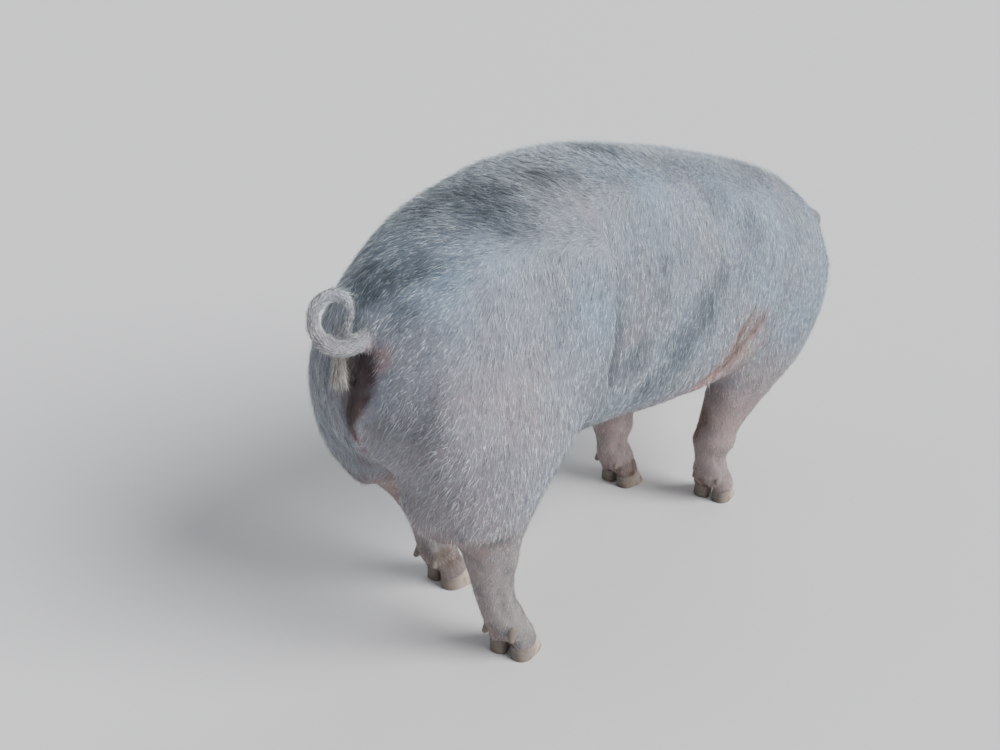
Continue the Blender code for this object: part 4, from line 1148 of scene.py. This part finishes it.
def coat(body):
    """The short bristles of the whole body, those that stand up along the back, the tuft and the lashes."""
    made = []
    rng = np.random.default_rng(5)
    root, out, flat = sow_roots(body, BRISTLES, 3)
    way = lie(root, out)
    _, length, width = hair_sizes(root, out)
    length *= rng.uniform(0.62, 1.25, len(root))
    lean = np.radians(np.clip(rng.normal(LEAN, LEAN_SPREAD, len(root)), 2, 34))
    lean += np.radians(9) * step(0.6, 0.95, out[:, 2]) * (1 - head_share(root))
    way = tilted(way, out, lean, STRAY, rng)
    tail = tail_share(root)
    way = tilted(way, out, np.radians(10) * tail, 0.0, rng)
    bright = rng.random(len(root)) < BRIGHT_SHARE + 0.25 * tail
    width *= np.where(bright, rng.uniform(1.3, 2.2, len(root)), rng.uniform(0.7, 1.1, len(root)))
    length *= np.where(bright, 1.25, 0.90)
    order = np.argsort(root[:, 1])
    for k, part in enumerate(np.array_split(order, math.ceil(len(order) / COAT_PIECE))):
        made.append(bristle_piece(f"coat_{k + 1}", root[part], way[part], out[part], length[part], width[part],
                                  np.full(len(part), 0.06), flat[part], 1, bright[part], 30 + k))

    def crest(middles, leanings):
        share = step(0.72, 0.95, leanings[:, 2]) * step(0.55, 0.65, middles[:, 2])
        return share * (1 - ear_share(middles)) + 0.0001

    root, out, flat = sow_roots(body, CREST_BRISTLES, 9, crest)
    way = lie(root, out)
    length = CREST_HAIR * rng.uniform(0.7, 1.3, len(root)) * (1 - 0.5 * head_share(root))
    lean = np.radians(np.clip(rng.normal(CREST_LEAN, CREST_LEAN_SPREAD, len(root)), 6, 55))
    made.append(bristle_piece("coat_crest", root, tilted(way, out, lean, CREST_STRAY, rng), out, length,
                              np.full(len(root), 0.00048), np.full(len(root), 0.18), flat, 2,
                              rng.random(len(root)) < 0.6, 77))
    made.append(tail_tuft(body))
    made.append(lashes(body, eye_frames()))
    return made


def tilted(way, out, lean, stray, rng):
    """Ways along the hide lifted by an angle and strayed sideways by chance."""
    aside = np.cross(way, out) * rng.normal(0, stray, len(way))[:, None]
    made = way * np.cos(lean)[:, None] + out * np.sin(lean)[:, None] + aside
    return unit(made)


def tail_tuft(body):
    """Long soft hair on the last turn of the tail, gathered past its end."""
    rng = np.random.default_rng(12)
    middle, radii = tail_points()
    place = 1 - rng.random(TUFT_HAIRS) ** 1.6 * 0.26
    index = np.clip((place * (len(middle) - 1)).astype(int), 0, len(middle) - 2)
    along = unit(middle[index + 1] - middle[index])
    spin = rng.normal(size=(TUFT_HAIRS, 3))
    out = unit(spin - along * np.sum(spin * along, axis=1)[:, None])
    root = middle[index] + out * (radii[index] * 0.80)[:, None]
    hang = np.array((0, 0.05, -0.65)) - 0.30 * np.array(TAIL_LEFT)
    down = unit(along * 0.75 + hang * np.clip(place - 0.8, 0, 1)[:, None] * 4)
    way = unit(down + out * rng.uniform(0.10, 0.50, TUFT_HAIRS)[:, None])
    length = (0.012 + 0.026 * np.clip((place - 0.74) / 0.26, 0, 1)) * rng.uniform(0.6, 1.2, TUFT_HAIRS)
    return bristle_piece("coat_tail_tuft", root, way, out, length, np.full(TUFT_HAIRS, 0.00050),
                         rng.uniform(-0.15, 0.30, TUFT_HAIRS), unwrap_places(body, root), 3,
                         rng.random(TUFT_HAIRS) < 0.7, 88)


def unwrap_places(body, points):
    """The place on the hide's unwrap that lies nearest to each point."""
    tree = BVHTree.FromObject(body, bpy.context.evaluated_depsgraph_get())
    layer = body.data.uv_layers["OFBake"].data
    faces = [body.data.polygons[tree.find_nearest(Vector(point))[2]] for point in points]
    return np.array([tuple(layer[face.loop_start].uv) for face in faces])


def lashes(body, frames):
    """Pale lashes along the upper lid of each eye, and a few short ones below."""
    rng = np.random.default_rng(14)
    roots, ways, outs = [], [], []
    for centre, ahead, rise, out in frames.values():
        ahead, rise, out = np.array(ahead), np.array(rise), np.array(out)
        for k in range(LASHES):
            upper = k % 4 != 0
            s = rng.uniform(-0.0100, 0.0100)
            arch = 1 - (s / EYE_HALF_WIDTH) ** 2
            r = UPPER_LID * arch + 0.0010 if upper else -LOWER_LID * arch - 0.0010
            aim = s * ahead + r * rise + math.sqrt(EYE_RADIUS**2 - s * s - r * r) * out
            aim /= np.linalg.norm(aim)
            roots.append(np.array(centre) + aim * 0.0134)
            way = out + (0.55 if upper else -0.9) * rise + 60 * s * ahead * 0.5 + rng.normal(0, 0.12, 3)
            ways.append(way / np.linalg.norm(way))
            outs.append(-rise if upper else rise)
    count = len(roots)
    roots, ways, outs = np.array(roots), np.array(ways), np.array(outs)
    length = rng.uniform(0.008, 0.0135, count) * np.where(np.arange(count) % 4 == 0, 0.55, 1.0)
    return bristle_piece("coat_lashes", roots, ways, outs, length, np.full(count, 0.00042), np.full(count, -0.25),
                         unwrap_places(body, roots), 3, np.ones(count, bool), 91)


class Value:
    """A shader socket that adds its Math nodes where it is used in an expression."""

    def __init__(self, shader, socket):
        self.shader = shader
        self.socket = socket

    def use(self, operation, first, second, clamp=False):
        node = self.shader.node("ShaderNodeMath", {"operation": operation, "use_clamp": clamp}, {0: first, 1: second})
        return Value(self.shader, node.outputs[0])

    def __add__(self, other):
        return self.use("ADD", self, other)

    def __radd__(self, other):
        return self.use("ADD", other, self)

    def __sub__(self, other):
        return self.use("SUBTRACT", self, other)

    def __rsub__(self, other):
        return self.use("SUBTRACT", other, self)

    def __mul__(self, other):
        return self.use("MULTIPLY", self, other)

    def __rmul__(self, other):
        return self.use("MULTIPLY", other, self)

    def clamped(self):
        return self.use("ADD", self, 0.0, True)


class Shader:
    """A material with one Principled shader, and the few kinds of nodes that feed it."""

    def __init__(self, name, **constants):
        self.material = bpy.data.materials.new(name)
        self.material.use_nodes = True
        self.tree = self.material.node_tree
        self.main = next(node for node in self.tree.nodes if node.type == "BSDF_PRINCIPLED")
        for key, value in constants.items():
            self.main.inputs[key.replace("_", " ")].default_value = value

    def node(self, kind, settings, inputs):
        node = self.tree.nodes.new(kind)
        for key, value in settings.items():
            setattr(node, key, value)
        for key, value in inputs.items():
            self.feed(node.inputs[key], value)
        return node

    def feed(self, socket, value):
        if isinstance(value, Value):
            value = value.socket
        if isinstance(value, bpy.types.NodeSocket):
            self.tree.links.new(value, socket)
        elif isinstance(value, tuple) and len(value) == 3 and socket.type == "RGBA":
            socket.default_value = (*value, 1.0)
        else:
            socket.default_value = value

    def attribute(self, name):
        return Value(self, self.node("ShaderNodeAttribute", {"attribute_name": name}, {}).outputs["Fac"])

    def place(self, scale=(1, 1, 1)):
        coordinates = self.node("ShaderNodeTexCoord", {}, {}).outputs["Object"]
        return self.node("ShaderNodeMapping", {}, {"Vector": coordinates, "Scale": scale}).outputs["Vector"]

    def noise(self, scale, detail=3.0, stretch=(1, 1, 1)):
        node = self.node("ShaderNodeTexNoise", {}, {"Vector": self.place(stretch), "Scale": scale, "Detail": detail})
        return Value(self, node.outputs["Fac"])

    def mix(self, share, first, second):
        return self.node("ShaderNodeMix", {"data_type": "RGBA"}, {0: share, 6: first, 7: second}).outputs[2]

    def bump(self, height, distance):
        node = self.node("ShaderNodeBump", {}, {"Height": height, "Distance": distance, "Strength": 1.0})
        self.feed(self.main.inputs["Normal"], node.outputs[0])

    def set(self, name, value):
        self.feed(self.main.inputs[name], value)


# The pale hide's blue-grey is partly its own tone and partly a painted blue cast of skylight
PALE_HIDE_AND_SKY_TINT = (0.180, 0.235, 0.302)
MAUVE_HIDE = (0.195, 0.190, 0.218)
LOW_HIDE = (0.178, 0.166, 0.164)
# Brown of dirt, also used for the painted shade in the creases
MUD_AND_SHADE = (0.085, 0.052, 0.030)
# Marks over the hide in turn: name, share where the mottling is least, gain with it, strength, tint
HIDE_MARKS = (
    ("pink", 0.45, 0.9, 0.85, (0.340, 0.185, 0.165)),
    # The next row: the hide's dark patches and the painted shade beside the flank and ham folds
    ("dark", 0.55, 0.9, 0.92, (0.048, 0.060, 0.073)),
    ("seam", 0.40, 1.0, 1.00, (0.160, 0.032, 0.028)),
    # The next row: dark skin under the tail, with painted shade
    ("under_tail_dark_and_shade", 0.55, 0.9, 1.00, (0.030, 0.018, 0.021)),
    # The next row: dirt, with painted shade in the creases
    ("mud_and_shade", 0.20, 1.5, 1.00, MUD_AND_SHADE),
)


def hide_colour(shader):
    """The colour of the hide from its markings and its painted shade, with fine mottling."""
    broad = shader.noise(5.5, 4.0)
    fine = shader.noise(46.0, 4.0)
    colour = shader.mix((broad * 2.4 - 0.72).clamped(), MAUVE_HIDE, PALE_HIDE_AND_SKY_TINT)
    mottle = (0.5 + (fine - 0.5) * 1.2).clamped()
    colour = shader.mix(shader.attribute("low"), colour, LOW_HIDE)
    for mark, least, gain, strength, tint in HIDE_MARKS:
        share = (shader.attribute(mark) * (least + gain * mottle)).clamped()
        colour = shader.mix(share * strength, colour, tint)
    return colour


def hide_finish():
    """Bare skin between the bristles: dull, with a fine grain and low wrinkles."""
    shader = Shader("hide", Roughness=0.62, Specular_IOR_Level=0.32)
    shader.set("Base Color", hide_colour(shader))
    wrinkles = shader.noise(150.0, 2.0, (1, 1, 0.4))
    ridged = 1 - ((wrinkles - 0.5) * (wrinkles - 0.5) * 60.0).clamped()
    grain = shader.noise(420.0, 3.0, (1, 1, 0.5))
    lumps = shader.noise(70.0, 3.0)
    shader.bump(0.5 * grain + 0.9 * lumps - 0.16 * ridged, 0.0015)
    return shader.material


def coat_finish():
    """Bristles: more of the hide's tone at the root, paler towards the point."""
    shader = Shader("bristle", Roughness=0.48, Specular_IOR_Level=0.4)
    colour = hide_colour(shader)
    tone = shader.attribute("tone")
    reach = shader.attribute("reach")
    # Bristle tips blue-white, their blue partly a painted cast of skylight
    pale = shader.mix(tone, (0.100, 0.134, 0.176), (0.88, 0.96, 1.0))
    warm = (shader.attribute("low") + 0.5 * shader.attribute("pink")).clamped()
    pale = shader.mix(0.8 * warm, pale, shader.mix(tone, (0.22, 0.19, 0.17), (0.80, 0.74, 0.66)))
    # Bristles darker where the hide is dark or dirty, and where shade is painted beside the folds, in the creases and
    # under the tail
    dark = shader.attribute("dark")
    dirt_and_shade = (shader.attribute("mud_and_shade") + shader.attribute("under_tail_dark_and_shade")).clamped()
    share = ((0.58 + 0.40 * reach) * (1 - 0.58 * dark) * (1 - 0.7 * dirt_and_shade)).clamped()
    shader.set("Base Color", shader.mix(share, colour, pale))
    return shader.material


def horn_finish():
    """Claw horn: grey-cream, dirty towards the heel and towards the ground, with faint growth rings."""
    shader = Shader("horn", Specular_IOR_Level=0.4)
    height = shader.attribute("rise")
    front = shader.attribute("front")
    grime = shader.noise(60.0, 5.0)
    colour = shader.mix((front * 1.1 + 0.25 * grime - 0.1).clamped(), (0.125, 0.105, 0.090), (0.46, 0.37, 0.305))
    rings = shader.noise(90.0, 3.0, (0.25, 0.25, 4.0))
    colour = shader.mix((rings * 0.9 - 0.25).clamped(), colour, (0.23, 0.19, 0.155))
    colour = shader.mix(((grime - 0.52) * 5.0 + (0.35 - height)).clamped() * 0.7, colour, MUD_AND_SHADE)
    shader.set("Base Color", colour)
    shader.set("Roughness", 0.42 + 0.3 * grime)
    shader.bump(0.7 * rings + 0.5 * grime, 0.0012)
    return shader.material


def eye_finish():
    """A dark wet eye: brown iris, round black pupil and a little white at the corner."""
    shader = Shader("eye", Roughness=0.05, Coat_Weight=1.0, Coat_Roughness=0.02)
    gaze = shader.attribute("gaze")
    streaks = shader.noise(420.0, 4.0)
    iris = shader.mix(streaks, (0.022, 0.010, 0.005), (0.085, 0.040, 0.018))
    colour = shader.mix(((gaze - 0.30) * 30.0).clamped(), (0.002, 0.002, 0.002), iris)
    colour = shader.mix(((gaze - 0.66) * 14.0).clamped(), colour, (0.020, 0.010, 0.006))
    colour = shader.mix(((gaze - 0.78) * 10.0).clamped(), colour, (0.400, 0.290, 0.250))
    shader.set("Base Color", colour)
    return shader.material


def eyes(frames):
    """Both eyeballs, each bulging a little over the iris."""
    made = []
    finish = eye_finish()
    for suffix, (centre, ahead, rise, out) in frames.items():
        bpy.ops.object.select_all(action="DESELECT")
        bpy.ops.mesh.primitive_uv_sphere_add(segments=64, ring_count=40, radius=EYE_RADIUS - 0.0004)
        ball = bpy.context.object
        ball.name = "eye_ball_" + suffix
        points = points_of(ball)
        angle = np.arccos(np.clip(points[:, 2] / norms(points), -1, 1))
        points *= (1 + 0.055 * drop(0.55, 0.80, angle))[:, None]
        write_marks(ball.data, {"gaze": angle / 1.05})
        axes = Matrix((ahead, rise, out)).transposed()
        if axes.determinant() < 0:
            axes = Matrix((-ahead, rise, out)).transposed()
        set_points(ball, points @ np.array(axes).T + np.array(centre))
        made.append(finished(ball, finish, "eye", "eye_" + suffix))
    return made


def foot_frame(name):
    side, x, y, turn = FEET[name]
    return Matrix.Translation((x, y, 0)) @ Matrix.Rotation(-side * turn, 4, "Z")


def claw_marks(obj, name):
    """How high and how far towards the toe each point of a claw lies."""
    local = in_frame(points_of(obj), foot_frame(name))
    write_marks(obj.data, {"rise": np.clip(local[:, 2] / CORONET_HEIGHT, 0, 1.6),
                           "front": step(0.03, -0.035, local[:, 1])})


def claws(nodes, finish):
    """The eight claws, their edges rounded and their walls a little worn."""
    made = []
    for foot in FEET:
        for toe in ("a", "b"):
            label = f"claw_{foot}_{toe}"
            horn = merged_copy(nodes[label])
            horn.name = label.replace("claw", "hoof")
            apply_modifier(horn, "BEVEL", width=0.0035, segments=3, limit_method="ANGLE",
                           angle_limit=math.radians(40))
            apply_modifier(horn, "SUBSURF", levels=2, render_levels=2)
            points, normals = points_of(horn), normals_of(horn)
            wear = 0.0007 * ripple(points, 0.012, 33) + 0.0004 * np.sin(points[:, 2] * 1300)
            points += normals * (wear * step(0.002, 0.006, points[:, 2]))[:, None]
            points[:, 2] = np.maximum(points[:, 2], 0.0)
            back = in_frame(points, foot_frame(foot))[:, 1]
            share = points[:, 2] / (CORONET_HEIGHT - back * math.tan(CORONET_SLOPE))
            points[:, 2] += 0.0045 * step(0.86, 0.98, share)
            set_points(horn, points)
            claw_marks(horn, foot)
            made.append(finished(horn, finish, "horn", label))
    return made


def dewclaws(finish):
    """Small horn caps over the bumps behind each pastern."""
    made = []
    for foot in FEET:
        for toe in (-1, 1):
            bpy.ops.object.select_all(action="DESELECT")
            bpy.ops.mesh.primitive_cone_add(vertices=16, radius1=0.0112, radius2=0.0052, depth=0.031)
            cap = bpy.context.object
            cap.name = f"dewclaw_{foot}_{'a' if toe < 0 else 'b'}"
            apply_modifier(cap, "BEVEL", width=0.0035, segments=2, limit_method="ANGLE")
            apply_modifier(cap, "SUBSURF", levels=2, render_levels=2)
            lean = Matrix.Rotation(math.radians(-154), 4, "X")
            splay = Matrix.Rotation(toe * math.radians(-14), 4, "Y")
            place = foot_frame(foot) @ Matrix.Translation((toe * 0.026, 0.0575, 0.0800)) @ splay @ lean
            cap.data.transform(place)
            claw_marks(cap, foot)
            made.append(finished(cap, finish, "horn"))
    return made


def floor():
    """A plain pale floor."""
    bpy.ops.object.select_all(action="DESELECT")
    bpy.ops.mesh.primitive_plane_add(size=40)
    ground = bpy.context.object
    ground.name = "floor"
    shader = Shader("floor", Roughness=0.9, Base_Color=(0.56, 0.56, 0.56, 1.0))
    ground.data.materials.append(shader.material)


# Lamps: name, the place they shine from, power
LAMPS = (
    ("key", (-3.2, -0.6, 3.0), 5.9),
    ("fill", (2.8, 2.6, 3.0), 0.25),
    ("front", (0.8, -3.4, 2.6), 0.8),
)


def lights():
    """A very broad lamp from above on the right, two weaker ones, and a pale surround."""
    for name, place, power in LAMPS:
        data = bpy.data.lights.new(name, "SUN")
        data.angle = math.radians(38)
        data.energy = power
        lamp = new_object(name, data)
        lamp.location = place
        lamp.rotation_euler = (Vector((0, 0, 0.4)) - Vector(place)).to_track_quat("-Z", "Y").to_euler()
    world = bpy.data.worlds.new("surround")
    world.use_nodes = True
    background = world.node_tree.nodes["Background"]
    background.inputs["Color"].default_value = (0.88, 0.94, 1.0, 1.0)
    background.inputs["Strength"].default_value = 0.52
    bpy.context.scene.world = world


def camera():
    data = bpy.data.cameras.new("camera")
    data.sensor_width = 36
    data.lens = CAMERA_LENS
    eye = new_object("camera", data)
    turn = (Matrix.Rotation(CAMERA_HEADING, 4, "Z") @ Matrix.Rotation(CAMERA_TILT, 4, "X")
            @ Matrix.Rotation(CAMERA_ROLL, 4, "Z"))
    eye.matrix_world = Matrix.Translation(CAMERA_PLACE) @ turn
    bpy.context.scene.camera = eye


def dress():
    """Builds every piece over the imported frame."""
    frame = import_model()
    nodes = frame["nodes"]
    body = skin(nodes)
    unwrap(body)
    write_marks(body.data, marks(points_of(body), normals_of(body)))
    finished(body, hide_finish(), "skin", *FLESH)
    bristle = coat_finish()
    hairs = coat(body)
    for piece in hairs:
        piece.data.materials.append(bristle)
    horn = horn_finish()
    pieces = [body] + hairs + eyes(eye_frames()) + claws(nodes, horn) + dewclaws(horn)
    for piece in pieces:
        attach(piece, "root")
    floor()
    lights()
    camera()


dress()
